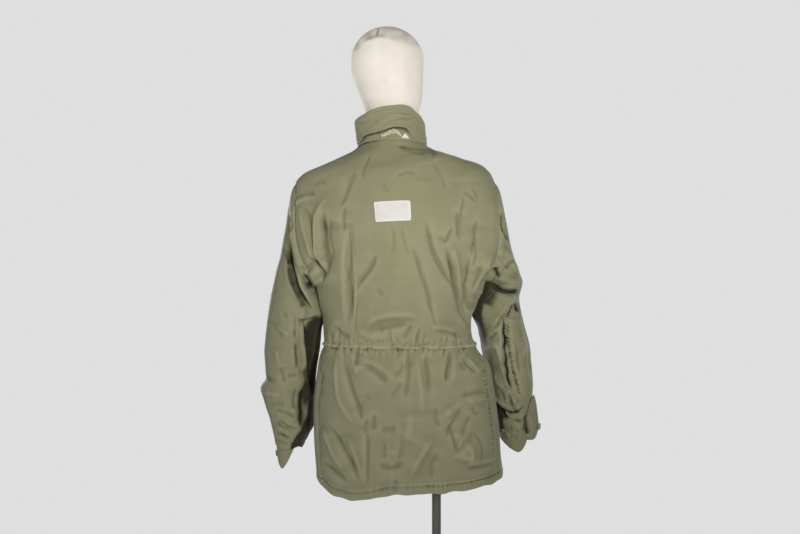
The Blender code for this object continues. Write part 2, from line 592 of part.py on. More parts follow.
def build_sleeves(skin, collection):
    rings = np.arange(len(SLEEVE_LEFT) + 1, dtype=float)
    turns = np.arange(2 * ARM_ROWS) * 360.0 / (2 * ARM_ROWS)
    for side in ("left", "right"):
        points, _ = sleeve_points(side, rings, turns)
        points[0, :, 0] += SLEEVE_START if side == "left" else -SLEEVE_START
        cloth("sleeve_" + side, points, skin, collection, closed=True)


def build_collar(skin, collection):
    angles = np.linspace(-90 + COLLAR_FRONT_GAP, 270 - COLLAR_FRONT_GAP, COLLAR_COLUMNS + 1)
    points, _ = collar_points(angles, np.linspace(0, 1, COLLAR_ROWS + 1))
    cloth("collar", points, skin, collection)
    edge_angles, edge_rises = zip(*FLAP_EDGE.values())
    over = angles[(angles >= edge_angles[0]) & (angles <= edge_angles[-1])]
    foot = np.interp(over, edge_angles, edge_rises)
    rows = []
    for share in (0.0, 0.5, 1.0):
        points, out = collar_grid(over, foot + (1.0 - foot) * share)
        rows.append(points + out * (WALL + FLAP_GAP))
    cloth("collar_flap", np.array(rows), skin, collection)


def build_hanger(skin, tip_skin, collection):
    """The twisted tape that shows in the slit, and the small white tip beside it."""
    span = np.linspace(0, 1, 9)
    arc = np.sin(np.pi * span)
    points, out = collar_grid(HANGER_START + HANGER_SWEEP * span, 0.11 + 0.09 * arc)
    points = points + out * (HANGER_LIFT + 0.0006 * arc)[:, None]
    half = np.array([0.0, 0.0, HANGER_WIDTH / 2])
    cloth("hanger_loop", np.array([points - half, points + half]), skin, collection, wall=TAPE_WALL)
    foot, out = collar_points([107, 121], [0.05])
    peak, _ = collar_points([112, 117], [0.16])
    tip = np.stack([foot[0], peak[0]]) + out * HANGER_LIFT
    cloth("tape_tip", tip, tip_skin, collection, wall=TAPE_WALL)


def build_label(skin, collection):
    levels = LEVELS["blade"] + np.array(LABEL_LEVELS)
    section = smooth_columns(BODY_COLUMNS, BODY_SECTIONS, levels[1])
    half = (section["x_left"] - section["x_right"]) / 2
    middle = (section["x_left"] + section["x_right"]) / 2
    start = float(seam_angle(levels[1], BACK_SCOOP))
    run = []
    for x in np.linspace(LABEL_LEFT_X, LABEL_LEFT_X - LABEL_WIDTH, 7):
        angle = math.degrees(math.acos((x - middle) / half))
        run.append((angle - start) / (180.0 - 2 * start))
    lift = (LABEL_WALL + WALL) / 2 + SKIN
    cloth("label", on_panel("back", levels, run, lift), skin, collection, wall=LABEL_WALL)


def build_front_details(skin, collection):
    """Chest pockets, their flaps, the hip pockets' flaps and the storm flap."""
    levels = body_levels()
    across = np.linspace(0, 1, FRONT_COLUMNS + 1)
    for side in ("left", "right"):
        for name, row in POCKETS.items():
            pocket = named(POCKET_COLUMNS, row)
            chosen = (levels > pocket["level_low"]) & (levels < pocket["level_high"])
            columns = across[pocket["column_first"]:pocket["column_last"] + 1]
            points = on_panel(side, levels[chosen], columns, (WALL + SKIN) * pocket["layer"])
            cloth(name + "_" + side, points, skin, collection)
    strip = [on_panel(side, levels, columns, WALL + SKIN) for side, columns in FLY_ACROSS.items()]
    cloth("fly", np.concatenate(strip, axis=1), skin, collection)


def guard_points(name, drops, across):
    """Points of a pointed guard: drop below the cuff in metres, across -1 to 1."""
    guard = named(GUARD_COLUMNS, CUFF_GUARDS[name])
    rows = []
    for drop in drops:
        spread = guard["half_spread"] * (1.0 - GUARD_NARROWING * max(drop, 0.0) / guard["length"])
        turns = guard["turn"] + spread * np.asarray(across)
        ring, out = sleeve_points(guard["side"], [len(SLEEVE_LEFT)], turns)
        rows.append(ring[0] - out[0] * (WALL + GUARD_GAP) - np.array([0.0, 0.0, drop]))
    return np.array(rows)


def flare_points(rows, across):
    """Points of the flared guard: fractional rows of its table, across -1 to 1."""
    points = []
    for values in smooth_row(CUFF_FLARE, rows):
        flare = named(FLARE_COLUMNS, values)
        turns = FLARE_TURN + flare["half_spread"] * np.asarray(across)
        ring, out = sleeve_points("right", [flare["ring"]], turns)
        points.append(ring[0] + out[0] * flare["lift"] - np.array([0.0, 0.0, flare["drop"]]))
    return np.array(points)


def build_cuff_pieces(skin, collection):
    """The pointed hand guards inside the cuffs, the flared one and the small tabs."""
    for name, row in CUFF_GUARDS.items():
        length = named(GUARD_COLUMNS, row)["length"]
        drops = (-GUARD_TUCK, 0.0, 0.3 * length, 0.65 * length, length)
        cloth(name, guard_points(name, drops, np.linspace(-1, 1, 9)), skin, collection, wall=GUARD_WALL)
    flare = flare_points(np.arange(len(CUFF_FLARE)), np.linspace(-1, 1, 7))
    cloth("cuff_flare_right", flare, skin, collection, wall=GUARD_WALL)
    lift = np.array([WALL + TAB_GAP, 0.0, 0.0])
    tab = guard_points("cuff_guard_left", TAB_LEFT_DROPS, TAB_LEFT_ACROSS) + lift
    cloth("cuff_tab_left", tab, skin, collection)
    tab = flare_points(np.array(TAB_RIGHT_ROWS), TAB_RIGHT_ACROSS) - lift
    cloth("cuff_tab_right", tab, skin, collection)


def build_form(skin, collection):
    """Torso, neck and egg head as one closed solid of plain rings."""
    turns = np.radians(np.arange(FORM_COLUMNS_ROUND) * 360.0 / FORM_COLUMNS_ROUND)
    rings = []
    for row in FORM_SECTIONS.values():
        s = named(FORM_COLUMNS, row)
        x = s["x_mid"] + s["half_width"] * power_of(np.cos(turns), 2 / s["power"])
        y = s["y_mid"] + s["half_depth"] * power_of(np.sin(turns), 2 / s["power"])
        rings.append(np.stack([x, y, np.full_like(x, s["z"])], axis=-1))
    mesh = grid_mesh("form", np.array(rings), closed=True)
    points = [tuple(v.co) for v in mesh.vertices]
    faces = [tuple(p.vertices) for p in mesh.polygons]
    foot = tuple(range(FORM_COLUMNS_ROUND))[::-1]
    start = len(points) - FORM_COLUMNS_ROUND
    top = len(points)
    points.append(FORM_TOP)
    cap = [(start + i, start + (i + 1) % FORM_COLUMNS_ROUND, top) for i in range(FORM_COLUMNS_ROUND)]
    whole = bpy.data.meshes.new("form")
    whole.from_pydata(points, [], faces + [foot] + cap)
    whole.update()
    bpy.data.meshes.remove(mesh)
    place("form", whole, skin, collection)


def turned(name, profile, x, skin, collection):
    """A turned piece: a profile (radius, height), outer side from the top down, spun round Z."""
    mesh = bpy.data.meshes.new(name)
    mesh.from_pydata([(radius, 0.0, height) for radius, height in profile], [],
                     [(i, i + 1) for i in range(len(profile) - 1)])
    obj = place(name, mesh, skin, collection)
    obj.location.x = x
    spin = obj.modifiers.new("spin", "SCREW")
    spin.steps = 32
    spin.render_steps = 32
    spin.use_normal_flip = True
    spin.use_merge_vertices = True
    spin.merge_threshold = 0.00005
    return obj


def build_stand(skin, collection):
    rounded = []
    for step in range(4):
        turn = math.radians(90.0 * step / 3)
        rounded.append((BASE_RADIUS - BASE_ROUNDING + BASE_ROUNDING * math.sin(turn),
                        BASE_THICKNESS - BASE_ROUNDING + BASE_ROUNDING * math.cos(turn)))
    plate = [(0.0, BASE_THICKNESS)] + rounded + [(BASE_RADIUS, 0.0), (0.0, 0.0)]
    turned("base_plate", plate, 0.0, skin, collection)
    inner = POLE_RADIUS + SOCKET_GAP
    outer = inner + SOCKET_WALL
    low = BASE_THICKNESS + SEAM
    high = low + SOCKET_HEIGHT
    collar = [(inner, high), (outer - SOCKET_CHAMFER, high), (outer, high - SOCKET_CHAMFER),
              (outer, low + SOCKET_FOOT_RISE), (outer + SOCKET_FOOT, low), (inner, low), (inner, high)]
    turned("base_socket", collar, POLE_X, skin, collection)
    foot = BASE_THICKNESS + SEAM
    head = FORM_SECTIONS["foot"][0] - SEAM
    bpy.ops.mesh.primitive_cylinder_add(vertices=24, radius=POLE_RADIUS, depth=head - foot,
                                        location=(POLE_X, 0.0, (head + foot) / 2))
    pole = bpy.context.object
    pole.name = "pole"
    pole.data.materials.append(skin)
    pole.data.shade_smooth()
    pole.data.set_sharp_from_angle(angle=SMOOTH_LIMIT)
    for owner in list(pole.users_collection):
        owner.objects.unlink(pole)
    collection.objects.link(pole)


def main():
    for obj in list(bpy.data.objects):
        bpy.data.objects.remove(obj)
    jacket = bpy.data.collections.new("field_jacket_on_form")
    bpy.context.scene.collection.children.link(jacket)
    olive = material("olive_cloth", OLIVE, 0.85)
    trim = material("olive_trim", OLIVE_DARK, 0.85)
    white = material("white_tape", WHITE, 0.8)
    canvas = material("form_canvas", CANVAS, 0.8)
    metal = material("stand_metal", METAL, 0.4, 0.6)
    build_body(olive, jacket)
    build_casing(olive, jacket)
    build_sleeves(olive, jacket)
    build_collar(olive, jacket)
    build_hanger(trim, white, jacket)
    build_label(white, jacket)
    build_front_details(olive, jacket)
    build_cuff_pieces(olive, jacket)
    build_form(canvas, jacket)
    build_stand(metal, jacket)


main()
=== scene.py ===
# %% [markdown]
# # A field jacket on a dress form
# A cotton field jacket hangs on a padded form without limbs. The cloth is thin, washed
# and creased, so nearly all of its look is in folds. The script first loads the packed
# solids as a frame that gives every place and size, and then dresses them: each solid
# of cloth is replaced by a thin, finely creased shell in the same place.

# %% Load the frame
import math

import bpy
import numpy as np
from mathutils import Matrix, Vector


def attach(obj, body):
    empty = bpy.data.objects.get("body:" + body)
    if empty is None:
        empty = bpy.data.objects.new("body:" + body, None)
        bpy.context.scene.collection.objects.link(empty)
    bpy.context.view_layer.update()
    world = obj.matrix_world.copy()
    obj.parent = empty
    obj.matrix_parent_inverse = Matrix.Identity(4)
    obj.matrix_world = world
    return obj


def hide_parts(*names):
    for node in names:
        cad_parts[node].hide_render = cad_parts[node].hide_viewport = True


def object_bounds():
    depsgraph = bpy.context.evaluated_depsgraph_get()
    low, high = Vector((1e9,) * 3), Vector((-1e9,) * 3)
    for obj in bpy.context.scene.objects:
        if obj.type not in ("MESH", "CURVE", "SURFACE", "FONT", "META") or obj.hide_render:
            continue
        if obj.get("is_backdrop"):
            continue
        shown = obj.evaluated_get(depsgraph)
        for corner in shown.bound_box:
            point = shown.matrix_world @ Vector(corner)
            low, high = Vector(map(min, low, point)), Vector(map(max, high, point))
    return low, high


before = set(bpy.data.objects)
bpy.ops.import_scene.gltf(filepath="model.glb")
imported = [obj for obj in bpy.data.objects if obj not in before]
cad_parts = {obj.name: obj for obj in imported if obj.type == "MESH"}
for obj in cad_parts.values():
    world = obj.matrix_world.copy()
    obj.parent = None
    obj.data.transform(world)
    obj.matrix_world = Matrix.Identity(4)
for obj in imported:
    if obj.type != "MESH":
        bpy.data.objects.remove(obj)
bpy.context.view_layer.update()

# %% [markdown]
# ## The camera
# The jacket is seen square on from behind, from chest height. The camera comes first
# because everything after it is judged through it. A slightly long lens from 2.6 m
# keeps the shoulders and the hem in their true proportions.

# %% Camera
EYE = (0.0, 2.6, 1.222)
LENS = 52.0

scene = bpy.context.scene
eye = bpy.data.cameras.new("eye")
eye.lens = LENS
eye.clip_end = 50.0
camera = bpy.data.objects.new("camera", eye)
camera.location = EYE
camera.rotation_euler = (math.radians(90.0), 0.0, math.radians(180.0))
scene.collection.objects.link(camera)
scene.camera = camera
print("camera at", EYE, "lens", LENS)

# %% [markdown]
# ## Helpers for curves and noise
# A garment's sections are given in short tables. Reading a table on a smooth curve
# through its rows gives as fine a surface as the folds need. Noise comes from a few
# waves in seeded directions, so each run makes the same cloth.

# %% Curves
def smooth_row(table, where):
    """Read a table's columns at fractional row numbers, on a curve through its rows."""
    rows = np.array(list(table.values()), dtype=float)
    where = np.clip(np.asarray(where, dtype=float), 0.0, len(rows) - 1.0)
    first = np.minimum(where.astype(int), len(rows) - 2)
    t = (where - first)[..., None]
    before, here = rows[np.maximum(first - 1, 0)], rows[first]
    after, beyond = rows[first + 1], rows[np.minimum(first + 2, len(rows) - 1)]
    return 0.5 * (2 * here + (after - before) * t
                  + (2 * before - 5 * here + 4 * after - beyond) * t ** 2
                  + (3 * here - before - 3 * after + beyond) * t ** 3)


def fade(t):
    """0 below 0 and 1 over 1, with a soft step between."""
    t = np.clip(t, 0.0, 1.0)
    return t * t * (3.0 - 2.0 * t)


def bell(t, power=2):
    """1 at 0, dying out on both sides; a high power makes it flat on top."""
    return np.exp(-np.abs(t) ** power)


def power_of(value, exponent):
    """A power that keeps the value's sign."""
    return np.sign(value) * np.abs(value) ** exponent


def unit(vectors):
    """Vectors brought to length 1."""
    return vectors / np.maximum(np.linalg.norm(vectors, axis=-1, keepdims=True), 1e-9)


def run_along(line):
    """How far each point of a line lies along it."""
    return np.concatenate([[0.0], np.cumsum(np.linalg.norm(np.diff(line, axis=0), axis=1))])


def even_steps(line, where, count):
    """The places, read between those in where, whose points lie evenly apart along a line."""
    run = run_along(line)
    return np.interp(np.linspace(0, run[-1], count), run, where)


def arc_lengths(points):
    """How far each point of a grid lies along its row (u) and along its column (v), in metres."""
    u = np.zeros(points.shape[:2])
    v = np.zeros(points.shape[:2])
    u[:, 1:] = np.cumsum(np.linalg.norm(np.diff(points, axis=1), axis=-1), axis=1)
    v[1:] = np.cumsum(np.linalg.norm(np.diff(points, axis=0), axis=-1), axis=0)
    return u, v


def measured(points):
    """Arc lengths along rows and columns, and x and z, of each point of a grid."""
    return *arc_lengths(points), points[..., 0], points[..., 2]


def from_border(u, v):
    """How far each point of a grid lies from the nearest of its four edges."""
    return np.minimum(np.minimum(u, u[:, -1:] - u), np.minimum(v, v[-1:] - v))


# %% Noise
def waves(u, v, size, seed, stretch=1.0, count=9):
    """Soft noise about -1 to 1 with bumps of this size in metres, longer along v by stretch."""
    random = np.random.default_rng(seed)
    total = np.zeros_like(u)
    for _ in range(count):
        turn, phase = random.uniform(0, math.pi), random.uniform(0, 2 * math.pi)
        pitch = size * random.uniform(0.7, 1.5)
        run = (u * math.cos(turn) + v / stretch * math.sin(turn)) * 2 * math.pi / pitch
        total += np.cos(run + phase)
    return total / math.sqrt(count)


print("waves over a metre:", np.round(waves(np.linspace(0, 1, 5), np.zeros(5), 0.2, 1), 2))

# %% [markdown]
# ## Meshes
# Every soft piece starts as a grid of points. Quads through the grid make a smooth sheet,
# and a grid whose last column meets its first makes a tube. Modelling by hand would give
# the same forms, but a grid keeps the thread directions, so values such as wear and painted
# shade can be worked out for each point and stored with it, where the finish reads them.

# %% Sheets and tubes
jacket = bpy.data.collections.new("jacket_on_form")
scene.collection.children.link(jacket)


def quads_of(number, closed):
    """Quads through a grid of point numbers; closed joins its last column to the first."""
    beside = np.roll(number, -1, axis=1) if closed else number[:, 1:]
    here = number if closed else number[:, :-1]
    return np.stack([here[:-1], beside[:-1], beside[1:], here[1:]], axis=-1).reshape(-1, 4)


def sheet_mesh(name, points, closed=False):
    """A mesh of quads through a grid of points."""
    quads = quads_of(np.arange(points[..., 0].size).reshape(points.shape[:2]), closed)
    mesh = bpy.data.meshes.new(name)
    mesh.vertices.add(points[..., 0].size)
    mesh.vertices.foreach_set("co", points.reshape(-1).astype(np.float32))
    mesh.loops.add(quads.size)
    mesh.loops.foreach_set("vertex_index", quads.reshape(-1).astype(np.int32))
    mesh.polygons.add(len(quads))
    mesh.polygons.foreach_set("loop_start", np.arange(0, quads.size, 4, dtype=np.int32))
    mesh.update(calc_edges=True)
    mesh.shade_smooth()
    return mesh


def joined(name, grids):
    """One mesh from several closed tubes, each with its ends filled."""
    points, faces = [], []
    for grid in grids:
        number = len(points) + np.arange(grid[..., 0].size).reshape(grid.shape[:2])
        faces += quads_of(number, True).tolist() + [number[0, ::-1].tolist(), number[-1].tolist()]
        points += grid.reshape(-1, 3).tolist()
    mesh = bpy.data.meshes.new(name)
    mesh.from_pydata(points, [], faces)
    mesh.shade_smooth()
    return mesh


def put_value(mesh, name, values):
    """Store one value for each point of the mesh: a number or a vector."""
    kind = "FLOAT_VECTOR" if values.ndim > 1 and values.shape[-1] == 3 else "FLOAT"
    layer = mesh.attributes.new(name, kind, "POINT")
    layer.data.foreach_set("vector" if kind == "FLOAT_VECTOR" else "value",
                           values.reshape(-1).astype(np.float32))


def dressed(name, mesh, finish, nodes):
    """A piece with its finish, its place in the frame and the solids that it stands for."""
    obj = bpy.data.objects.new(name, mesh)
    jacket.objects.link(obj)
    mesh.materials.append(finish)
    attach(obj, "root")
    if nodes:
        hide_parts(*nodes)
    return obj


# %% [markdown]
# ## Node helpers
# A finish is a small tree of nodes. Written out, each node takes a line to make it and
# one more for every socket. These helpers say in one line what a node is, what feeds it
# and what it is set to, so that a recipe below reads as a recipe.

# %% Node helpers
def set_sockets(tree, node, sockets):
    """Set each named socket: a value stays on it, and another node's output is linked to it."""
    for name, value in sockets.items():
        if isinstance(value, bpy.types.NodeSocket):
            tree.links.new(value, node.inputs[name])
        else:
            node.inputs[name].default_value = value


def add_node(tree, kind, sockets, **settings):
    """A new node with its settings and sockets; gives its outputs."""
    node = tree.nodes.new("ShaderNode" + kind)
    for name, value in settings.items():
        setattr(node, name, value)
    set_sockets(tree, node, sockets)
    return node.outputs


def new_finish(name):
    """An empty material with its tree, its shader and the place on the object."""
    finish = bpy.data.materials.new(name)
    finish.use_nodes = True
    tree = finish.node_tree
    return finish, tree, tree.nodes["Principled BSDF"], add_node(tree, "TexCoord", {})["Object"]


def noise_of(tree, source, scale, detail, roughness=0.55, kind="FBM"):
    """A noise that reads its place from source."""
    sockets = {"Vector": source, "Scale": scale, "Detail": detail, "Roughness": roughness}
    return add_node(tree, "TexNoise", sockets, noise_type=kind)["Fac"]


def stretched(tree, source, scale):
    """Coordinates drawn out by a scale along each axis."""
    return add_node(tree, "Mapping", {"Vector": source, "Scale": scale})["Vector"]


def mixed(tree, share, first, second):
    """A colour between two, each given as a socket or as red, green and blue."""
    ends = [end if isinstance(end, bpy.types.NodeSocket) else (*end, 1.0) for end in (first, second)]
    sockets = {"Factor": share, "A": ends[0], "B": ends[1]}
    return add_node(tree, "Mix", sockets, data_type="RGBA")["Result"]


def bumped(tree, height, strength, distance, **over):
    """The way a surface faces, raised by a height of this many metres."""
    sockets = {"Height": height, "Strength": strength, "Distance": distance, **over}
    return add_node(tree, "Bump", sockets)["Normal"]


def weighted(tree, terms, start):
    """start plus each term's value times its weight."""
    for value, weight in terms:
        start = add_node(tree, "Math", {0: value, 1: weight, 2: start}, operation="MULTIPLY_ADD")["Value"]
    return start


def read_value(tree, name, output):
    """A value stored with the mesh's points."""
    return add_node(tree, "Attribute", {}, attribute_name=name)[output]


# %% [markdown]
# ## Cloth finishes
# The cloth is a dense olive cotton that has been worn and washed: matt, slightly uneven
# in its dye, paler where it rubs. One recipe serves all the cloths. It mixes a dark and
# a pale dye by the stored value of wear and painted shade, by broad fading and by the
# slubs of the yarn. Where that value falls below -1, deep in a fold, a darker colour takes
# over as painted shade. A twill bump follows the threads, and over it lie creases too
# fine to be modelled.

# %% The cloth recipe
THREAD_STREAK = (1.0, 0.16, 1.0)    # slubs are long along the warp
FADE_SCALE = 7.0
SLUB_SCALE = 420.0
TWILL_SCALE = 760.0
WEAVE_DEPTH = 0.0004        # metres
FINE_CREASES = (1.0, 1.0, 0.45)     # the small creases run rather up and down
FINE_SCALE = 17.0
FINE_DEPTH = 0.0052         # metres
DEEP_FOLD_SHADE = 0.16             # painted shade deep in a fold: its colour as a share of the dark dye


def cloth_finish(name, dark, pale, wear_and_shade=0.22, fading=0.22, slub=0.22, weave=0.30, sheen=0.15,
                 creased=0.5):
    """Woven cotton between a dark and a pale dye, with painted shade deep in its folds."""
    finish, tree, shader, place = new_finish(name)
    thread = read_value(tree, "thread", "Vector")
    broad = noise_of(tree, place, FADE_SCALE, 5.0, 0.6)
    patches = noise_of(tree, place, FADE_SCALE * 6, 3.0, 0.6)
    slubs = noise_of(tree, stretched(tree, thread, THREAD_STREAK), SLUB_SCALE, 2.0, 0.6)
    stored_wear_and_shade = read_value(tree, "wear_and_shade", "Fac")
    terms = [(broad, fading), (patches, fading * 0.5), (slubs, slub), (stored_wear_and_shade, wear_and_shade)]
    dye = mixed(tree, weighted(tree, terms, 0.5 - 0.5 * (1.5 * fading + slub)), dark, pale)
    # painted shade: below -1 the stored value turns the colour towards the dark fold shade
    painted_deep_shade = weighted(tree, [(stored_wear_and_shade, -0.5)], -0.5)
    sockets = {"Vector": thread, "Scale": TWILL_SCALE, "Distortion": 1.2, "Detail": 2.0}
    twill = add_node(tree, "TexWave", sockets, bands_direction="DIAGONAL")["Fac"]
    relief = weighted(tree, [(twill, 0.45), (slubs, 0.8)], 0.0)
    over = {}
    if creased:
        drawn = stretched(tree, place, FINE_CREASES)
        ridged = noise_of(tree, drawn, FINE_SCALE, 3.0, 0.5, "RIDGED_MULTIFRACTAL")
        over["Normal"] = bumped(tree, ridged, creased, FINE_DEPTH)
    set_sockets(tree, shader, {
        "Base Color": mixed(tree, painted_deep_shade, dye, [DEEP_FOLD_SHADE * share for share in dark]),
        "Roughness": weighted(tree, [(patches, 0.16)], 0.74),
        "Sheen Weight": sheen,
        "Sheen Roughness": 0.5,
        "Specular IOR Level": 0.25,
        "Normal": bumped(tree, relief, weave, WEAVE_DEPTH, **over),
    })
    return finish


OLIVE = cloth_finish("olive_cotton", (0.147, 0.142, 0.071), (0.312, 0.303, 0.187))
OLIVE_SEAM = cloth_finish("olive_seam_thread", (0.185, 0.176, 0.092), (0.345, 0.330, 0.208), weave=0.2)
OLIVE_TAPE = cloth_finish("olive_tape", (0.300, 0.285, 0.175), (0.560, 0.540, 0.390), weave=0.5)
WHITE_TAPE = cloth_finish("white_tape", (0.500, 0.490, 0.450), (0.740, 0.730, 0.690), wear_and_shade=0.3,
                          fading=0.45, sheen=0.1, creased=0.15)
CANVAS = cloth_finish("form_canvas", (0.700, 0.640, 0.548), (0.815, 0.778, 0.705), wear_and_shade=0.25,
                      fading=0.40, slub=0.40, weave=0.55, sheen=0.1, creased=0.0)
print("cloth finishes:", OLIVE.name, OLIVE_SEAM.name, OLIVE_TAPE.name, WHITE_TAPE.name, CANVAS.name)

# %% [markdown]
# ## A piece of cloth
# Real cloth is about a millimetre thick, seams more. Solidify gives the sheet both faces
# and cut edges. Two values go along with each point: where it lies on its thread grid,
# which the weave follows when the sheet bends, and its wear together with painted shade:
# washed cotton pales on its ridges, and the darkness in its folds is painted shade. The
# size that the piece would have laid flat, measured along its own surface, is printed.

# %% Cloth
CLOTH = 0.0015


def cut_of(points, closed=False):
    """Flat size of a cloth: its longest row, its longest column and its area."""
    loop = np.concatenate([points, points[:, :1]], axis=1) if closed else points
    u, v = arc_lengths(loop)
    across, up = np.diff(loop, axis=1)[:-1], np.diff(loop, axis=0)[:, :-1]
    area = np.linalg.norm(np.cross(across, up), axis=-1).sum()
    return float(u[:, -1].max()), float(v[-1].max()), float(area)


def cloth(name, points, wear_and_shade, threads, nodes, facing=1, closed=False, thick=CLOTH,
          finish=OLIVE):
    """A piece of cloth through the points; facing is -1 where its columns run the other way."""
    order = slice(None, None, facing)
    mesh = sheet_mesh(name, points[:, order], closed)
    put_value(mesh, "wear_and_shade", wear_and_shade[:, order])
    put_value(mesh, "thread", np.stack([*threads, 0 * threads[0]], axis=-1)[:, order])
    obj = dressed(name, mesh, finish, nodes)
    shell = obj.modifiers.new("both_faces", "SOLIDIFY")
    shell.thickness = thick
    shell.offset = 0.0
    width, length, area = cut_of(points, closed)
    print(f"{name}: {len(mesh.vertices)} points, cut {width:.3f} x {length:.3f} m, {area:.4f} m2")


# %% [markdown]
# ## Stand metal
# The pole, its socket and the round base are dark coated steel. They keep the frame's own
# meshes, since turned and drawn metal has no finer form to add. A fine orange-peel bump
# and a little unevenness in the gloss keep it from looking like plastic.

# %% The stand's finish
def metal_finish(name, colour, dusty):
    """Coated steel: satin, a little uneven, with faint dust."""
    finish, tree, shader, place = new_finish(name)
    broad = noise_of(tree, place, 14.0, 4.0)
    fine = noise_of(tree, place, 900.0, 2.0)
    set_sockets(tree, shader, {
        "Base Color": mixed(tree, broad, colour, dusty),
        "Roughness": weighted(tree, [(broad, 0.25)], 0.30),
        "Metallic": 0.35,
        "Normal": bumped(tree, fine, 0.12, 0.0003),
    })
    return finish


METAL = metal_finish("stand_metal", (0.100, 0.091, 0.080), (0.170, 0.158, 0.141))
for name in ("pole", "base_plate", "base_socket"):
    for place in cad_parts[name].material_slots:
        place.material = METAL
print("stand:", METAL.name)

# %% [markdown]
# ## Floor and surround
# A plain pale floor carries the stand, and a pale surround fills the rest. A studio's
# walls and ceiling throw light everywhere. Here the floor glows a little instead, and
# the surround looks brighter to the camera than it lights the cloth, so that the folds
# keep their shade in front of a pale background.

# %% Floor and surround
FLOOR_RADIUS = 2.3
FLOOR_DROP = 0.0005         # under the base, so that the two faces don't share a plane
FLOOR_GLOW = 0.26           # stands in for the studio's own light on a wide pale floor
SURROUND = (0.740, 0.740, 0.748)
OPEN_SHADE = 0.30           # how much of the surround's light reaches the cloth

bpy.ops.mesh.primitive_circle_add(vertices=96, radius=FLOOR_RADIUS, fill_type="NGON",
                                  location=(0, 0, -FLOOR_DROP))
floor = bpy.context.object
floor.name = "floor"
paint, tree, shader, place = new_finish("floor_paint")
set_sockets(tree, shader, {
    "Base Color": mixed(tree, noise_of(tree, place, 1.5, 3.0), (0.80, 0.80, 0.81), (0.86, 0.86, 0.865)),
    "Roughness": 0.7,
    "Emission Color": (*SURROUND, 1.0),
    "Emission Strength": FLOOR_GLOW,
})
floor.data.materials.append(paint)
floor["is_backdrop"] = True

world = bpy.data.worlds.new("surround")
scene.world = world
world.use_nodes = True
tree = world.node_tree
seen = add_node(tree, "LightPath", {})["Is Camera Ray"]
set_sockets(tree, tree.nodes["Background"], {
    "Color": (*SURROUND, 1.0),
    "Strength": weighted(tree, [(seen, 1.0 - OPEN_SHADE)], OPEN_SHADE),
})
scene.view_settings.view_transform = "Standard"
print("floor radius", FLOOR_RADIUS)

# %% [markdown]
# ## Light
# Creases show by the side they turn to the light, so the key lamp is small and stands
# beside the camera, at chest height. A wide fill from the other side and two lamps in
# front keep the shadows open. Two faint narrow ones shape the form's head.

# %% Lamps
LAMP_COLUMNS = ("place", "aim", "size", "watts", "spread", "tint")
WARM, COOL = (1.0, 0.99, 0.97), (0.98, 0.99, 1.0)
LAMPS = dict(
    key=((-0.62, 2.20, 1.36), (0.02, 0, 1.38), 0.40, 3.2, 50, WARM),
    fill=((1.60, 2, 1.35), (0, 0, 1.30), 0.9, 7.5, 130, COOL),
    head_left=((1.50, 0.55, 1.84), (0, 0, 1.74), 0.3, 0.10, 18, WARM),
    head_right=((-1.50, 0.55, 1.84), (0, 0, 1.74), 0.3, 0.08, 18, WARM),
    front=((1, -2.10, 1.35), (0, 0, 1.25), 0.45, 9, 75, WARM),
    far=((-1.60, -2, 1.25), (0, 0, 1.15), 1.2, 12, 180, COOL),
)


def named(columns, values):
    """Values by the names of their columns."""
    return dict(zip(columns, values))


def aim(obj, target):
    """Turn an object so that its -Z points at the target."""
    away = np.array(obj.location) - np.array(target)
    flat = math.hypot(away[0], away[1])
    obj.rotation_euler = (math.atan2(flat, away[2]), 0.0, math.atan2(away[1], away[0]) + math.pi / 2)


for name, values in LAMPS.items():
    row = named(LAMP_COLUMNS, values)
    lamp = bpy.data.lights.new(name, "AREA")
    lamp.shape = "DISK"
    lamp.size = row["size"]
    lamp.energy = row["watts"]
    lamp.spread = math.radians(row["spread"])
    lamp.color = row["tint"]
    stand = bpy.data.objects.new(name, lamp)
    stand.location = row["place"]
    aim(stand, row["aim"])
    scene.collection.objects.link(stand)
    print("lamp", name, row["watts"], "W")

# %% [markdown]
# ## The body's surface
# The back and the two fronts lie on one surface round the dress form, drawn in at the
# waist and open to the hem. Its sections are those of the solids, so each fine panel
# lies where its solid lies and only the folds are new.

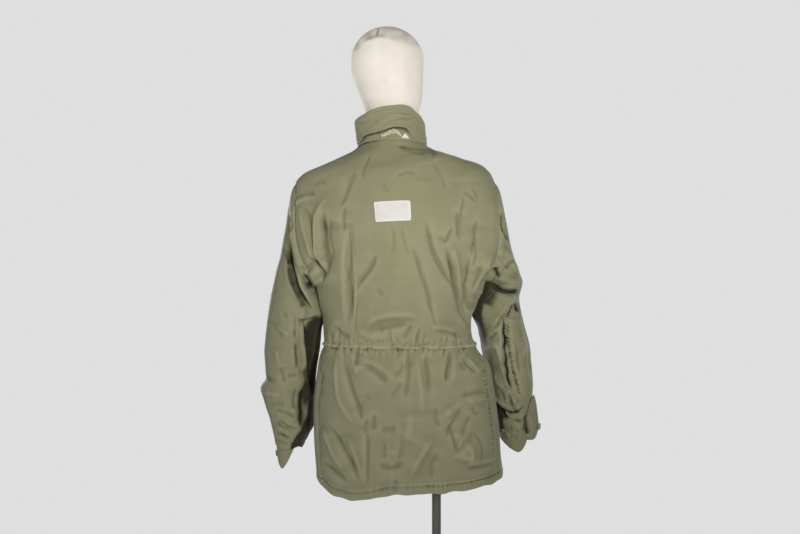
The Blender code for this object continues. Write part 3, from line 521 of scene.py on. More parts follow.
# %% Body sections
BODY_COLUMNS = ("z", "x_left", "x_right", "y_back", "y_front", "power", "seam_deg", "dip_back", "dip_front")
BODY_SECTIONS = dict(
    hem=(0.756, 0.185, -0.228, 0.122, -0.128, 2.3, 24, -0.021, -0.008),
    skirt_low=(0.8, 0.189, -0.225, 0.13, -0.132, 2.3, 23, -0.014, -0.004),
    skirt_mid=(0.87, 0.192, -0.221, 0.133, -0.132, 2.3, 22, -0.006, 0),
    skirt_high=(0.945, 0.19, -0.21, 0.128, -0.126, 2.3, 20, 0, 0),
    hip=(1, 0.182, -0.202, 0.119, -0.119, 2.2, 16, 0, 0),
    below_waist=(1.03, 0.175, -0.179, 0.111, -0.112, 2.2, 13, 0, 0),
    casing_foot=(1.046, 0.168, -0.17, 0.107, -0.108, 2.2, 12, 0, 0),
    casing_top=(1.072, 0.17, -0.161, 0.108, -0.11, 2.2, 12, 0, 0),
    over_waist=(1.105, 0.172, -0.16, 0.116, -0.117, 2.2, 12, 0, 0),
    ribs=(1.145, 0.176, -0.168, 0.122, -0.123, 2.2, 12, 0, 0),
    underarm=(1.18, 0.187, -0.187, 0.126, -0.127, 2.2, 12, 0, 0),
    chest=(1.24, 0.228, -0.221, 0.126, -0.128, 2.2, 9, 0, 0),
    blade=(1.3, 0.247, -0.235, 0.122, -0.124, 2.1, 6, 0, 0),
    upper_back=(1.355, 0.245, -0.231, 0.115, -0.114, 2, 4, 0, 0),
    shoulder_drop=(1.398, 0.238, -0.219, 0.104, -0.101, 2, 3, 0, 0),
    shoulder_point=(1.413, 0.231, -0.212, 0.1, -0.096, 2, 2, 0, -0.004),
    shoulder_outer=(1.434, 0.21, -0.199, 0.094, -0.091, 2, 2, 0, -0.013),
    shoulder_mid=(1.453, 0.168, -0.177, 0.087, -0.086, 2, 2, 0.001, -0.023),
    shoulder_inner=(1.467, 0.137, -0.132, 0.082, -0.081, 2, 2, 0.003, -0.03),
    neck_rise=(1.481, 0.106, -0.086, 0.077, -0.076, 2, 2, 0.006, -0.038),
    neck=(1.492, 0.092, -0.058, 0.072, -0.071, 2, 2, 0.01, -0.042),
)
LEVELS = {name: index for index, name in enumerate(BODY_SECTIONS)}
HEM_CURVE = 1.5
HEM_DROP, HEM_DROP_DEG, HEM_DROP_SPREAD, HEM_DROP_LEVELS = 0.0215, 48.0, 27.0, 3.0
BACK_SCOOP, FRONT_SCOOP = 17.0, 34.0    # how far the armholes are cut in, in degrees
SEAM_HALF_GAP = 0.00024
print(len(BODY_SECTIONS), "sections of the body")

# %% Points of the body
def smooth_columns(columns, table, where):
    """A table's columns by name, at fractional row numbers."""
    return named(columns, np.moveaxis(smooth_row(table, where), -1, 0))


def ring_point(angle, level):
    """A point of the plain surface: degrees from the wearer's left side over the back, and level."""
    s = smooth_columns(BODY_COLUMNS, BODY_SECTIONS, level)
    c, n = np.cos(np.radians(angle)), np.sin(np.radians(angle))
    middle, half = (s["x_left"] + s["x_right"]) / 2, (s["x_left"] - s["x_right"]) / 2
    x = middle + half * power_of(c, 2 / s["power"])
    y = np.where(n > 0, s["y_back"], -s["y_front"]) * power_of(n, 2 / s["power"])
    dip = s["dip_back"] * np.maximum(n, 0) ** HEM_CURVE + s["dip_front"] * np.maximum(-n, 0) ** 2
    drop = HEM_DROP * bell((angle - HEM_DROP_DEG) / HEM_DROP_SPREAD, 3)
    drop = drop * fade(1.0 - level / HEM_DROP_LEVELS)
    return np.stack([x, y, s["z"] + dip - drop], axis=-1)


def one_degree(angle, level):
    """The step that one degree makes along the ring."""
    return ring_point(angle + 0.5, level) - ring_point(angle - 0.5, level)


def ring_normal(angle, level):
    """The outward direction of the plain surface."""
    up = ring_point(angle, level + 0.04) - ring_point(angle, level - 0.04)
    return unit(np.cross(one_degree(angle, level), up))


def seam_half(angle, level):
    """Half the gap of a side seam, in degrees."""
    return SEAM_HALF_GAP / np.linalg.norm(one_degree(angle, level), axis=-1)


def seam_angle(level, scoop):
    """Where a panel's side edge lies: the side seam, or the armhole cut into it."""
    along = (level - LEVELS["underarm"]) / (LEVELS["shoulder_point"] - LEVELS["underarm"])
    cut = np.sin(np.pi * np.clip(along, 0.0, 1.0)) ** 0.8
    return smooth_columns(BODY_COLUMNS, BODY_SECTIONS, level)["seam_deg"] + scoop * cut


def panel_angle(side, level, run):
    """The angle of a panel's point; run is 0 to 1 from its left or outer seam."""
    if side == "back":
        start = seam_angle(level, BACK_SCOOP)
        start = start + seam_half(start, level)
        return start + run * (180.0 - 2 * start)
    start = seam_angle(level, -FRONT_SCOOP)
    start = start - seam_half(start, level)
    angle = start + run * (-90.0 + seam_half(-90.0, level) - start)
    return 180.0 - angle if side == "right" else angle


def even_levels(low, high, count, angle=40.0):
    """Levels whose rings lie evenly apart along the cloth, seen at one angle."""
    fine = np.linspace(low, high, 400)
    return even_steps(ring_point(np.full_like(fine, angle), fine), fine, count)


def panel(side, levels, across):
    """A panel's plain points and outward directions."""
    level, run = np.meshgrid(levels, across, indexing="ij")
    angle = panel_angle(side, level, run)
    return ring_point(angle, level), ring_normal(angle, level)


WAIST = ring_point(np.array([0.0, 180.0]), np.full(2, LEVELS["casing_foot"] + 0.5))
print("waist is", round(float(np.ptp(WAIST[:, 0])), 3), "m wide")

# %% [markdown]
# ## Relief of cloth
# Three things shape worn cotton. Creases run along lines that the wearer has set in it.
# Sewn edges pull it into a groove with small puckers. And all over there is a faint
# crumple from washing. A cloth simulation could give folds too, but not these folds in
# these places, so each crease is a given line, with a width to either side and a
# height along the cloth's outward direction.

# %% Creases and sewn lines
CREASE_ENDS = 0.3           # share of a crease over which each end dies out
CREASE_CORE = 0.30          # of its height, the part that is a sharp fold along the middle
CREASE_ROUND = 0.0006       # how round the cloth is along a crease's line
DYE_ENDS = 0.2
ARM_FILL, ARM_REACH = 0.017, 0.040


def soft_line(points, steps=5):
    """A smooth curve in metres through points in mm, x and z by turns."""
    rows = np.reshape(points, (-1, 2))
    last = len(rows) - 1
    return smooth_row(dict(enumerate(rows)), np.linspace(0, last, steps * last + 1)) / 1000.0


def near_line(x, z, line):
    """How far points are from a line, on which side of it, and how far along it."""
    distance, side, along = np.full(x.shape, 9.0), np.zeros(x.shape), np.zeros(x.shape)
    start = 0.0
    for first, last in zip(line[:-1], line[1:]):
        run = last - first
        length = np.hypot(*run)
        t = np.clip(((x - first[0]) * run[0] + (z - first[1]) * run[1]) / length ** 2, 0.0, 1.0)
        right, up = x - first[0] - t * run[0], z - first[1] - t * run[1]
        here = np.hypot(right, up)
        closer = here < distance
        distance = np.where(closer, here, distance)
        side = np.where(closer, run[0] * up - run[1] * right, side)
        along = np.where(closer, start + t * length, along)
        start += length
    return distance, side, along / start


def beside(x, z, line, reach):
    """Which points lie within reach of a line's box."""
    low, high = line.min(axis=0) - reach, line.max(axis=0) + reach
    return (x > low[0]) & (x < high[0]) & (z > low[1]) & (z < high[1])


def soft_and_sharp(width_left, width_right):
    """A crease's narrow side is crisper than its mean width, and its wide side runs out softly."""
    lean = (width_left - width_right) / (width_left + width_right)
    return width_left * (1.0 + lean), width_right * (1.0 - lean)


def creases(x, z, table, gain=1.0, broad=1.0, shift=0.0):
    """Height of a table of creases: width to the left and right, height, then the line, all in mm."""
    height = np.zeros_like(x)
    for (width_left, width_right, tall), *points in table.values():
        line = soft_line(points) + np.array([shift, 0.0])
        spot = beside(x, z, line, 0.0042 * broad * max(width_left, width_right))
        if spot.any():
            distance, side, along = near_line(x[spot], z[spot], line)
            width = np.where(side > 0, *soft_and_sharp(width_left, width_right)) * broad / 1000.0
            ends = fade(along / CREASE_ENDS) * fade((1.0 - along) / CREASE_ENDS)
            width = width * (0.45 + 0.55 * ends)
            bend = (np.sqrt(distance ** 2 + CREASE_ROUND ** 2) - CREASE_ROUND) / width
            shape = (1.0 - CREASE_CORE) * np.exp(-bend) + CREASE_CORE * np.exp(-5.0 * bend)
            height[spot] += gain * tall / 1000.0 * shape * ends
    return height


def fold_shade_of(x, z, table):
    """Painted shade along deep folds, how dark at each point: the same kind of table as the creases."""
    fold_shade_here = np.zeros_like(x)
    for (width_left, width_right, much), *points in table.values():
        line = soft_line(points)
        spot = beside(x, z, line, 0.0022 * max(width_left, width_right))
        if spot.any():
            distance, side, along = near_line(x[spot], z[spot], line)
            width = np.where(side > 0, width_left, width_right) / 1000.0
            ends = fade(along / DYE_ENDS) * fade((1.0 - along) / DYE_ENDS)
            fold_shade_here[spot] = np.maximum(fold_shade_here[spot], much * ends * bell(distance / width, 2.5))
    return fold_shade_here


def sewn_edge(away, along, seed, depth=0.0012, pucker=0.0009, pitch=0.0078, reach=0.010):
    """A sewn edge: a groove, and uneven puckers that die out beside it."""
    drift = waves(along, 0 * along, 0.06, seed, count=5)
    strong = np.clip(0.6 + 0.45 * waves(along, 0 * along, 0.09, seed + 1, count=5), 0.1, 1.3)
    ripple = np.cos(2 * np.pi * along / pitch + 2.0 * drift)
    return -depth * bell(away / 0.0032) + pucker * ripple * strong * bell(away / reach, 1.5)


def sewn_line(x, z, points, seed, **sizes):
    """A seam across a piece, with the relief of a sewn edge on both sides."""
    line = soft_line(points)
    height = np.zeros_like(x)
    spot = beside(x, z, line, 0.03)
    if spot.any():
        distance, _, along = near_line(x[spot], z[spot], line)
        ends = fade(along / 0.04) * fade((1.0 - along) / 0.04)
        height[spot] = sewn_edge(distance, along * run_along(line)[-1], seed, **sizes) * ends
    return height


def crumple(u, v, seed, amount=1.0):
    """The faint crumple of washed cotton: broad undulation and a few sharp ridges."""
    broad = 0.00160 * waves(u, v, 0.150, seed, 1.6) + 0.00030 * waves(u, v, 0.060, seed + 1, 1.3)
    sharp = 0.00060 * (0.45 - np.abs(waves(u, v, 0.110, seed + 2, 1.4)))
    return amount * (broad + sharp)


def ticks(seed, count, x_range, z_range, tall=1.3, length=(10, 34)):
    """A table of small random creases over a stretch of cloth, in mm."""
    random = np.random.default_rng(seed)
    table = {}
    for number in range(count):
        x, z = random.uniform(*x_range), random.uniform(*z_range)
        turn, long = random.uniform(0, math.pi), random.uniform(*length)
        bend = random.uniform(-0.15, 0.15) * long
        right, up = math.cos(turn) * long / 2, math.sin(turn) * long / 2
        middle = (x + bend * math.sin(turn), z - bend * math.cos(turn))
        size = (random.uniform(2.5, 4.5), random.uniform(3.5, 7.0),
                random.choice([-1.0, 1.0]) * random.uniform(0.4, 1.0) * tall)
        table[number] = (size, x - right, z - up, *middle, x + right, z + up)
    return table


def rope(points, seed, pitch, long, steep, dent, ridge):
    """A table of short creases across a sewn line, every pitch mm, each with a ridge under it."""
    random, line = np.random.default_rng(seed), np.array(points, dtype=float)
    run, table, at = run_along(line), {}, pitch
    while at < run[-1] - pitch:
        px, pz = (np.interp(at, run, line[:, axis]) for axis in (0, 1))
        size = random.uniform(0.6, 1.4)
        for drop, tall in ((0.0, dent), (0.45 * pitch, ridge)):
            ends = [(px + side * long * size, pz + side * steep * size - drop) for side in (1, 0.2, -1)]
            table[drop, at] = ((0.26 * pitch, 0.30 * pitch, tall * random.uniform(0.5, 1.2)), *ends)
        at += pitch * random.uniform(0.75, 1.25)
    return table


def armhole_fill(away, z, toward):
    """Cloth stands off the hollow over an armhole's seam: offset along Y, the same on both its sides."""
    low, high = BODY_SECTIONS["underarm"][0], BODY_SECTIONS["shoulder_point"][0]
    return toward * ARM_FILL * bell(away / ARM_REACH) * fade((z - low) / 0.06) * fade((high - z) / 0.07)


def smeared(height, steps, closed):
    """Height averaged over its neighbours again and again."""
    for _ in range(steps):
        wide = np.pad(height, ((1, 1), (0, 0)), mode="edge")
        wide = np.pad(wide, ((0, 0), (1, 1)), mode="wrap" if closed else "edge")
        height = (wide[:-2, 1:-1] + wide[2:, 1:-1] + wide[1:-1, :-2] + wide[1:-1, 2:]) / 4
    return height


def wear_and_shade_of(height, rubbed=0.0, closed=False, deep_from=0.0035):
    """Paler on ridges where they rub; painted shade down to -1 in troughs and to -3 where a fold is deep.
    """
    near = smeared(height, 10, closed)
    # painted shade: the deeper a fold lies under the cloth around it, the darker
    painted_deep_shade = np.clip((smeared(near, 60, closed) - height - deep_from) / 0.010, 0.0, 1.0)
    return (np.clip((height - near) / 0.0009, -1.0, 1.0) + rubbed) * (1.0 - painted_deep_shade) - 3.0 * painted_deep_shade


ONE_CREASE = dict(one=((5, 5, 2), 0, 0, 0, 100))
print("crease at its middle:", creases(np.zeros(1), np.full(1, 0.05), ONE_CREASE))

# %% Panels and what lies on them
PANELS = {}     # the finished cloth of each panel: points, outward directions, levels


def lie_on(side, levels, across, lift):
    """Points on a finished panel, moved out by lift: levels and across are two lists."""
    points, normals, rows = PANELS[side]
    row = np.interp(levels, rows, np.arange(len(rows)))
    column = np.asarray(across) * (points.shape[1] - 1)
    row, column = np.meshgrid(row, column, indexing="ij")
    r = np.minimum(row.astype(int), points.shape[0] - 2)
    c = np.minimum(column.astype(int), points.shape[1] - 2)
    s, t = (row - r)[..., None], (column - c)[..., None]
    spot = [grid[r, c] * (1 - s) * (1 - t) + grid[r + 1, c] * s * (1 - t)
            + grid[r, c + 1] * (1 - s) * t + grid[r + 1, c + 1] * s * t for grid in (points, normals)]
    out = unit(spot[1])
    return spot[0] + out * np.broadcast_to(lift, out.shape[:2])[..., None], out


# %% [markdown]
# ## The back
# The back is one panel from hem to neck. Its creases are set by wear: two deep ones run
# from the shoulder blades to the waist, where the drawcord gathers it, and below the cord
# the skirt falls in crossing folds. In the tables x runs to the wearer's left and z up.

# %% Lines of the back's creases, from the top down
BACK_CREASES = dict(
    blade_left_trough=((5, 12, -11), 162, 1349, 170, 1325, 169, 1290, 167, 1257, 163, 1223, 168, 1195),
    blade_left_ridge=((12, 7, 6), 155, 1374, 170, 1357, 181, 1325, 183, 1281, 177, 1242, 171, 1204),
    blade_outer_trough=((12, 9, -4), 211, 1362, 193, 1316, 186, 1275, 180, 1245),
    blade_outer_ridge=((9, 9, 3), 219, 1362, 211, 1310, 196, 1263, 187, 1226),
    form_edge_left=((2.5, 6, -2.6), 230, 1359, 223, 1374, 202, 1381, 180, 1378),
    form_edge_left_ridge=((4, 7, 2), 230, 1352, 219, 1366, 196, 1374),
    form_corner_left=((2, 3, -1.4), 189, 1396, 179, 1405, 169, 1408, 160, 1398),
    underarm_wedge_left=((6, 10, -12), 199, 1245, 187, 1223, 177, 1204, 171, 1184),
    underarm_puff_left=((9, 9, 6), 203, 1217, 192, 1198, 181, 1177),
    long_trough_left=((9, 16, -4), 112, 1325, 109, 1275, 111, 1232, 115, 1186, 112, 1134, 115, 1080),
    long_ridge_left=((4, 8, 1.8), 99, 1192, 98, 1157, 100, 1099),
    long_ridge_outer=((9, 7, 1.8), 124, 1275, 126, 1220, 124, 1165, 122, 1106),
    neck_diagonal=((5, 4, -2.4), 94, 1440, 104, 1415, 115, 1387, 131, 1344),
    neck_diagonal_low=((4, 6, -2), 118, 1359, 123, 1330, 121, 1293),
    long_line_left=((2, 4, -1.3), 118, 1303, 117, 1261, 119, 1223, 110, 1176, 107, 1106),
    long_line_inner=((2, 4, 1), 104, 1292, 102, 1230, 98, 1170, 101, 1108),
    long_line_low=((3, 2, -1.2), 92, 1150, 96, 1110, 94, 1075),
    blade_line_left=((2, 5, -1.3), 148, 1345, 158, 1300, 152, 1262, 146, 1225),
    under_label_a=((2, 4, -0.8), 22, 1318, 14, 1282, 20, 1240),
    under_label_b=((3, 2, -0.8), -2, 1315, -12, 1270, -24, 1236),
    shoulder_right_line=((3, 6, -1.8), -140, 1383, -131, 1330, -129, 1292),
    blade_line_right=((2, 5, -1.6), -160, 1300, -166, 1262, -158, 1216),
    rib_line_right=((2, 3, -1.4), -128, 1215, -141, 1165, -160, 1112),
    waist_line_right=((3, 2, -1.3), -60, 1160, -72, 1118, -80, 1085),
    waist_line_left=((2, 3, -1.1), 60, 1135, 44, 1100, 40, 1072),
    yoke_line_left=((2, 4, -0.8), 60, 1475, 78, 1440, 84, 1405),
    yoke_line_right=((3, 2, -0.8), -70, 1452, -92, 1420, -100, 1380),
    middle_diagonal=((9, 4, -3.6), 48, 1254, 60, 1223, 84, 1192, 97, 1169),
    middle_tick=((2.5, 3, -1), 52, 1177, 35, 1159),
    label_to_side=((9, 7, -4.5), -53, 1330, -62, 1293, -71, 1260, -87, 1226, -107, 1195, -121, 1169),
    label_to_side_ridge=((5, 8, 2.6), -67, 1290, -80, 1254, -99, 1223, -120, 1192),
    middle_right_trough=((9, 9, -3.4), -20, 1275, -35, 1242, -46, 1207, -60, 1169, -73, 1110),
    blade_fork_left=((2.5, 3, -1.2), -80, 1284, -93, 1281, -97, 1269),
    blade_fork_right=((3, 4, -2.4), -118, 1310, -107, 1296, -97, 1272),
    blade_fork_stem=((7, 10, -9.5), -97, 1269, -108, 1232, -119, 1192, -128, 1157, -137, 1122, -155, 1085),
    blade_fork_ridge=((8, 7, 4.5), -115, 1269, -125, 1223, -135, 1179, -144, 1136, -152, 1106),
    rib_right_trough=((7, 8, -6), -151, 1248, -149, 1204, -144, 1164, -144, 1128, -152, 1106),
    side_right_band=((9, 12, -3.6), -167, 1330, -163, 1281, -154, 1242),
    shoulder_right_band=((9, 15, -2.6), -125, 1352, -124, 1316, -129, 1275),
    underarm_right_ridge=((9, 9, 4), -200, 1254, -183, 1220, -167, 1184, -155, 1156),
    underarm_right_trough=((6, 6, -3.4), -178, 1232, -169, 1198, -156, 1164),
    form_edge_right=((2.5, 3.5, -1.5), -135, 1387, -150, 1378, -166, 1366, -173, 1364),
    form_edge_right_low=((2, 3, -1.2), -154, 1394, -164, 1385, -169, 1369),
    waist_bulge=((7, 14, 4.5), 79, 1093, 51, 1110, 17, 1117, -17, 1117, -43, 1113),
    waist_bulge_under=((4, 9, -3), 70, 1088, 38, 1085, 5, 1093, -17, 1099),
    waist_diagonal_left=((3, 3, -2.4), -28, 1099, -17, 1083, -8, 1064),
    waist_diagonal_right=((3, 5, -3.2), -70, 1085, -101, 1079, -130, 1071, -146, 1062),
    waist_diagonal_ridge=((6, 5, 2.6), -66, 1093, -101, 1087, -134, 1077),
    waist_left_slope=((7, 7, -2.6), 147, 1097, 130, 1077, 104, 1064),
    waist_left_ridge=((7, 6, 2.2), 97, 1088, 66, 1073, 38, 1067),
    neck_arc=((3, 4, -0.9), 9, 1410, -4, 1423, -22, 1426, -37, 1417),
    neck_arc_low=((3, 3, -0.6), 35, 1410, 32, 1393, 21, 1381),
    neck_band_right=((8, 8, -1.8), -35, 1467, -63, 1476, -88, 1466),
    neck_fold_right=((4, 5, -2.2), 11, 1489, -17, 1480, -46, 1475, -54, 1486),
    side_pull_right=((7, 7, 3), -158, 1134, -159, 1124, -156, 1088),
    hip_ridge_left=((9, 7, 5), 138, 1032, 136, 989, 132, 946, 119, 914, 98, 883),
    hip_trough_left=((7, 11, -6), 125, 1036, 118, 1000, 106, 958, 91, 919, 76, 879),
    gather_left_a=((5, 6, -4.5), 90, 1045, 94, 1029, 98, 1004),
    gather_left_b=((4, 5, 3), 105, 1043, 101, 1016, 95, 987),
    hip_diagonal=((5, 7, -4.5), 86, 1012, 64, 1004, 43, 989, 26, 971),
    hip_diagonal_ridge=((7, 6, 3), 82, 1021, 51, 1012, 26, 994, 11, 973),
    hip_patch_a=((3, 4, -1.8), -5, 1023, -2, 1002, 14, 987),
    hip_patch_b=((5, 6, -1.5), -6, 982, 10, 955, 23, 942),
    hip_patch_c=((5, 5, -1), 73, 955, 66, 931),
    centre_ridge=((12, 9, 4), -35, 1038, -41, 996, -47, 946, -49, 902),
    centre_trough_left=((6, 7, -3.2), -18, 1041, -18, 1002, -14, 962, -9, 935),
    centre_trough_right=((7, 8, -3.8), -57, 1040, -57, 1015, -61, 987, -62, 946),
    hip_line_right=((4, 7, -4.5), -108, 1045, -106, 1019, -101, 996, -98, 971),
    hip_line_right_ridge=((6, 9, 3), -116, 1041, -116, 1006, -114, 970),
    hip_short_a=((3, 5, -3), -134, 1029, -149, 1008, -171, 987),
    hip_short_b=((3, 4, -2), -127, 1016, -146, 996),
    hip_short_ridge=((4, 4, 1.6), -144, 1030, -163, 1008, -181, 984),
    hip_level_right=((3, 5, -2.8), -129, 942, -152, 946, -175, 949, -193, 945),
    hip_level_right_ridge=((6, 9, 2.6), -142, 931, -168, 935, -190, 935),
    patch_right_a=((3, 3, -1.6), -158, 924, -161, 907, -177, 904),
    dark_v_left=((6, 10, -3.4), -134, 927, -123, 903, -106, 877, -100, 853),
    dark_v_right=((3, 5, -3), -104, 890, -115, 857, -124, 829, -135, 838),
    dark_v_upper=((6, 5, -2.4), -156, 907, -142, 878, -135, 850),
    low_bulge=((16, 16, 6.5), -138, 846, -151, 830, -153, 811, -148, 793),
    low_bulge_edge=((3, 4, -2.4), -159, 867, -173, 843, -176, 820, -171, 792),
    low_left_ridge=((9, 9, 5), 171, 877, 157, 845, 140, 808, 121, 778),
    low_left_trough=((10, 13, -7), 157, 884, 133, 843, 108, 802, 85, 761),
    low_left_ridge_b=((8, 7, 5), 115, 861, 100, 824, 86, 786, 75, 756),
    upright_left=((3, 6, -3.6), 73, 879, 71, 840, 71, 800, 69, 750),
    little_fold_left=((5, 5, 2.6), 101, 919, 87, 897, 76, 879),
    little_trough_left=((3, 4, -2), 71, 901, 76, 879, 77, 861),
    patch_left_a=((6, 6, -2.6), 53, 910, 58, 884, 50, 871),
    patch_left_b=((6, 7, -2.2), 44, 871, 19, 876, 4, 876),
    low_centre_bulge=((12, 12, 4.5), 35, 825, 17, 826, -3, 823),
    low_centre_arc=((5, 7, -4), 46, 808, 35, 793, 15, 791, -2, 799, -10, 811),
    hem_upright=((4, 5, -2.4), 8, 769, 9, 754, 9, 734),
    low_diagonal_ridge=((8, 12, 4.5), -25, 773, -37, 800, -53, 828, -73, 861),
    low_diagonal_trough=((12, 12, -2.6), -70, 765, -68, 797, -87, 828),
    hem_fold_left=((4, 6, -4.5), 172, 797, 151, 782, 130, 768, 110, 760),
    hem_fold_right=((4, 6, -4.5), -141, 786, -165, 788, -194, 791, -211, 794),
    hem_fold_right_ridge=((7, 5, 3.4), -138, 796, -168, 798, -198, 801, -210, 806),
    side_left_shadow=((6, 8, -3), 167, 1000, 178, 964, 180, 924),
    centre_soft_low=((14, 14, 2.6), -21, 915, -21, 877, -6, 848),
    right_soft_a=((9, 9, -2.2), -78, 927, -77, 898, -88, 877),
    right_soft_b=((9, 9, 2.4), -100, 919, -113, 903),
)
print(len(BACK_CREASES), "creases behind")

# %% The gathers at the waist
GATHERS_ABOVE = range(-150, 156, 11)    # mm from the middle
GATHERS_BELOW = (139, 125, 106, 91, 72, 50, 31, 8, -22, -44, -67, -86, -101, -129, -146)
SKIRT_TOP = 1045            # creases that start under this lie in the skirt, mm
CORD_FOOT = 1048            # height of the cord, mm
CORD_Z = 1.050              # where the cloth is puckered most, m
CORD_SHADE = 1.0425         # where the painted shadow right under the cord lies, m


def gathers(seed, above, below):
    """Short creases over and under the drawn-in waist, each with a ridge beside it."""
    random, table = np.random.default_rng(seed), {}
    for places, way, tall in ((above, 1, -3.4), (below, -1, -3.0)):
        for x in places:
            x = x + random.uniform(-5, 5)
            long = random.choice([9, 13, 18, 34]) * random.uniform(0.8, 1.3)
            lean = random.uniform(-9, 9)
            points = [(x, CORD_FOOT - way * 9), (x + 0.2 * lean, CORD_FOOT + way * long * 0.4),
                      (x + lean, CORD_FOOT + way * (6 + long))]
            strong = random.uniform(0.4, 1.2)
            table[way, x] = ((random.uniform(1.8, 3.0), random.uniform(2.2, 5.5), tall * strong), *points)
            beside_it = [(px + random.uniform(4, 8), pz) for px, pz in points]
            table[way, x, "ridge"] = ((3.0, 3.5, -0.5 * tall * strong), *beside_it)
    return table


BACK_GATHERS = gathers(11, GATHERS_ABOVE, GATHERS_BELOW)
print(len(BACK_GATHERS), "gathers")

# %% The back's cloth
BACK_ROWS, BACK_COLUMNS = 232, 198
SEAM_DEPTH_TONE = 560.0         # how much darker a metre of depth, and paler a metre of height, makes the cloth along the side seams' stitch rows
HEM_STITCH = 0.0165         # the hem's stitching above the edge
SIDE_STITCHES = dict(           # the overlocked side seams show through the skirt beside its edges
    left=[(173, 1000), (177, 940), (178, 870), (175, 820), (169, 796)],
    right=[(-185, 1000), (-195, 930), (-200, 870), (-204, 806)],
)
SHOULDER_Z = 1.385          # over this the cloth rests on the form and can't sink far
BODY_DEEP = 0.0065          # a trough of the body gets painted shade from this depth on
UNDERARM_Z = BODY_SECTIONS["underarm"][0]
UNDERARM_OUT = 0.007


def hem_relief(up, along, seed):
    """A turned hem: a little thicker, with a groove at its stitching and puckers across."""
    off = up - HEM_STITCH
    inside = fade(1.0 - (off + 0.001) / 0.002)
    drift = waves(along, 0 * along, 0.07, seed, count=5)
    slow = waves(along, 0 * along, 0.045, seed + 1, count=5)
    pucker = np.cos(2 * np.pi * along / 0.0085 + 3.0 * drift) * (0.6 + 0.5 * slow)
    seam = 0.0030 * bell(off / 0.0018) - 0.0018 * bell((off - 0.0038) / 0.0018)
    beside_it = (0.0007 * pucker * (0.5 + slow) + 0.0018 * slow) * bell(off / 0.012, 1.5)
    return 0.0014 * inside - seam + beside_it


def hem_wear_and_shade(up, along, seed):
    """Paler on the edge and over the stitching where they rub; painted shade in dark dashes along its
    groove.
    """
    dashes = 0.7 + 0.9 * waves(along, 0 * along, 0.014, seed, count=8)
    groove, ridge = bell((up - HEM_STITCH) / 0.0019), bell((up - HEM_STITCH - 0.0042) / 0.0019)
    return 1.4 * bell(up / 0.0030) + 1.3 * ridge - 1.2 * groove * np.clip(dashes, 0.0, 2.0)


def underarm_fill(away, z):
    """The spare cloth under the arm stands out towards the sleeve."""
    return UNDERARM_OUT * bell((z - UNDERARM_Z + 0.030) / 0.030, 4) * bell(away / 0.05)


levels = even_levels(0.0, LEVELS["neck"], BACK_ROWS)
plain, normal = panel("back", levels, np.linspace(0, 1, BACK_COLUMNS))
u, v, x, z = measured(plain)
to_edge = np.minimum(u, u[:, -1:] - u)
pucker = waves(u, 0.35 * v, 0.0115, 47) * bell((z - CORD_Z) / 0.013, 1.6)
pucker *= 0.0019 * (1.0 - 0.35 * fade((z - CORD_Z + 0.002) / 0.004))
skirt = {name: row for name, row in BACK_CREASES.items() if row[2] < SKIRT_TOP}
above = {name: row for name, row in BACK_CREASES.items() if name not in skirt}
relief = creases(x, z, above, 2.5, 1.3) + creases(x, z, skirt, 2.1, 1.5) + creases(x, z, BACK_GATHERS)
stitched = creases(x, z, {name: ((3, 5, -1.1), *line) for name, line in SIDE_STITCHES.items()})
for seed, line in enumerate(SIDE_STITCHES.values(), 61):
    stitched += creases(x, z, rope(line, seed, 6.0, 4.2, 0.5, -2.2, 1.5))
relief += stitched
relief += pucker + creases(x, z, ticks(7, 26, (170, 212), (1160, 1236), 2.4, (8, 22)))
relief += creases(x, z, ticks(5, 40, (-215, 225), (760, 1440), 0.5, (24, 80)))
relief += creases(x, z, ticks(6, 18, (-192, -160), (1130, 1240), 2.2, (8, 20)))
relief += crumple(u, v, 21)
sink = -0.0034 - 0.014 * fade((SHOULDER_Z + 0.03 - z) / 0.06)     # as deep as the form lets it
relief = np.maximum(relief, sink) * fade(to_edge / 0.010)
relief += sewn_edge(to_edge, v, 31) * np.where(z > UNDERARM_Z, 0.35, 1.0)
relief += hem_relief(v, u, 41)
points = plain + normal * relief[..., None]
points[..., 2] += 0.0016 * waves(u, 0 * u, 0.040, 43, count=6) * bell(v / 0.012)
points[..., 1] += armhole_fill(to_edge, z, 1.0)
points[..., 0] += underarm_fill(to_edge, z) * np.sign(x)
PANELS["back"] = (points, normal, levels)
wear_and_shade = wear_and_shade_of(relief, 0.5 * bell(to_edge / 0.004) + 0.4 * bell(v / 0.004), deep_from=BODY_DEEP)
# painted shadow in a narrow band right under the cord
wear_and_shade -= (0.9 + 0.7 * waves(u, 0 * u, 0.03, 53, count=6)) * bell((z - CORD_SHADE) / 0.0026)
# painted shade: the shoulders, which face up away from the lamps, are darker
wear_and_shade += hem_wear_and_shade(v, u, 55) - 0.9 * fade((z - 1.40) / 0.08) + SEAM_DEPTH_TONE * stitched
cloth("back_cloth", points, wear_and_shade, (u, v), ["back"])

# %% [markdown]
# ## The fronts
# Each front runs from its side seam to the middle, where a storm flap covers the zip.
# Cloth hangs on the chest and is drawn in by the same cord. The creases repeat the
# habits of the back's: from chest to underarm, gathers at the cord, long folds below.

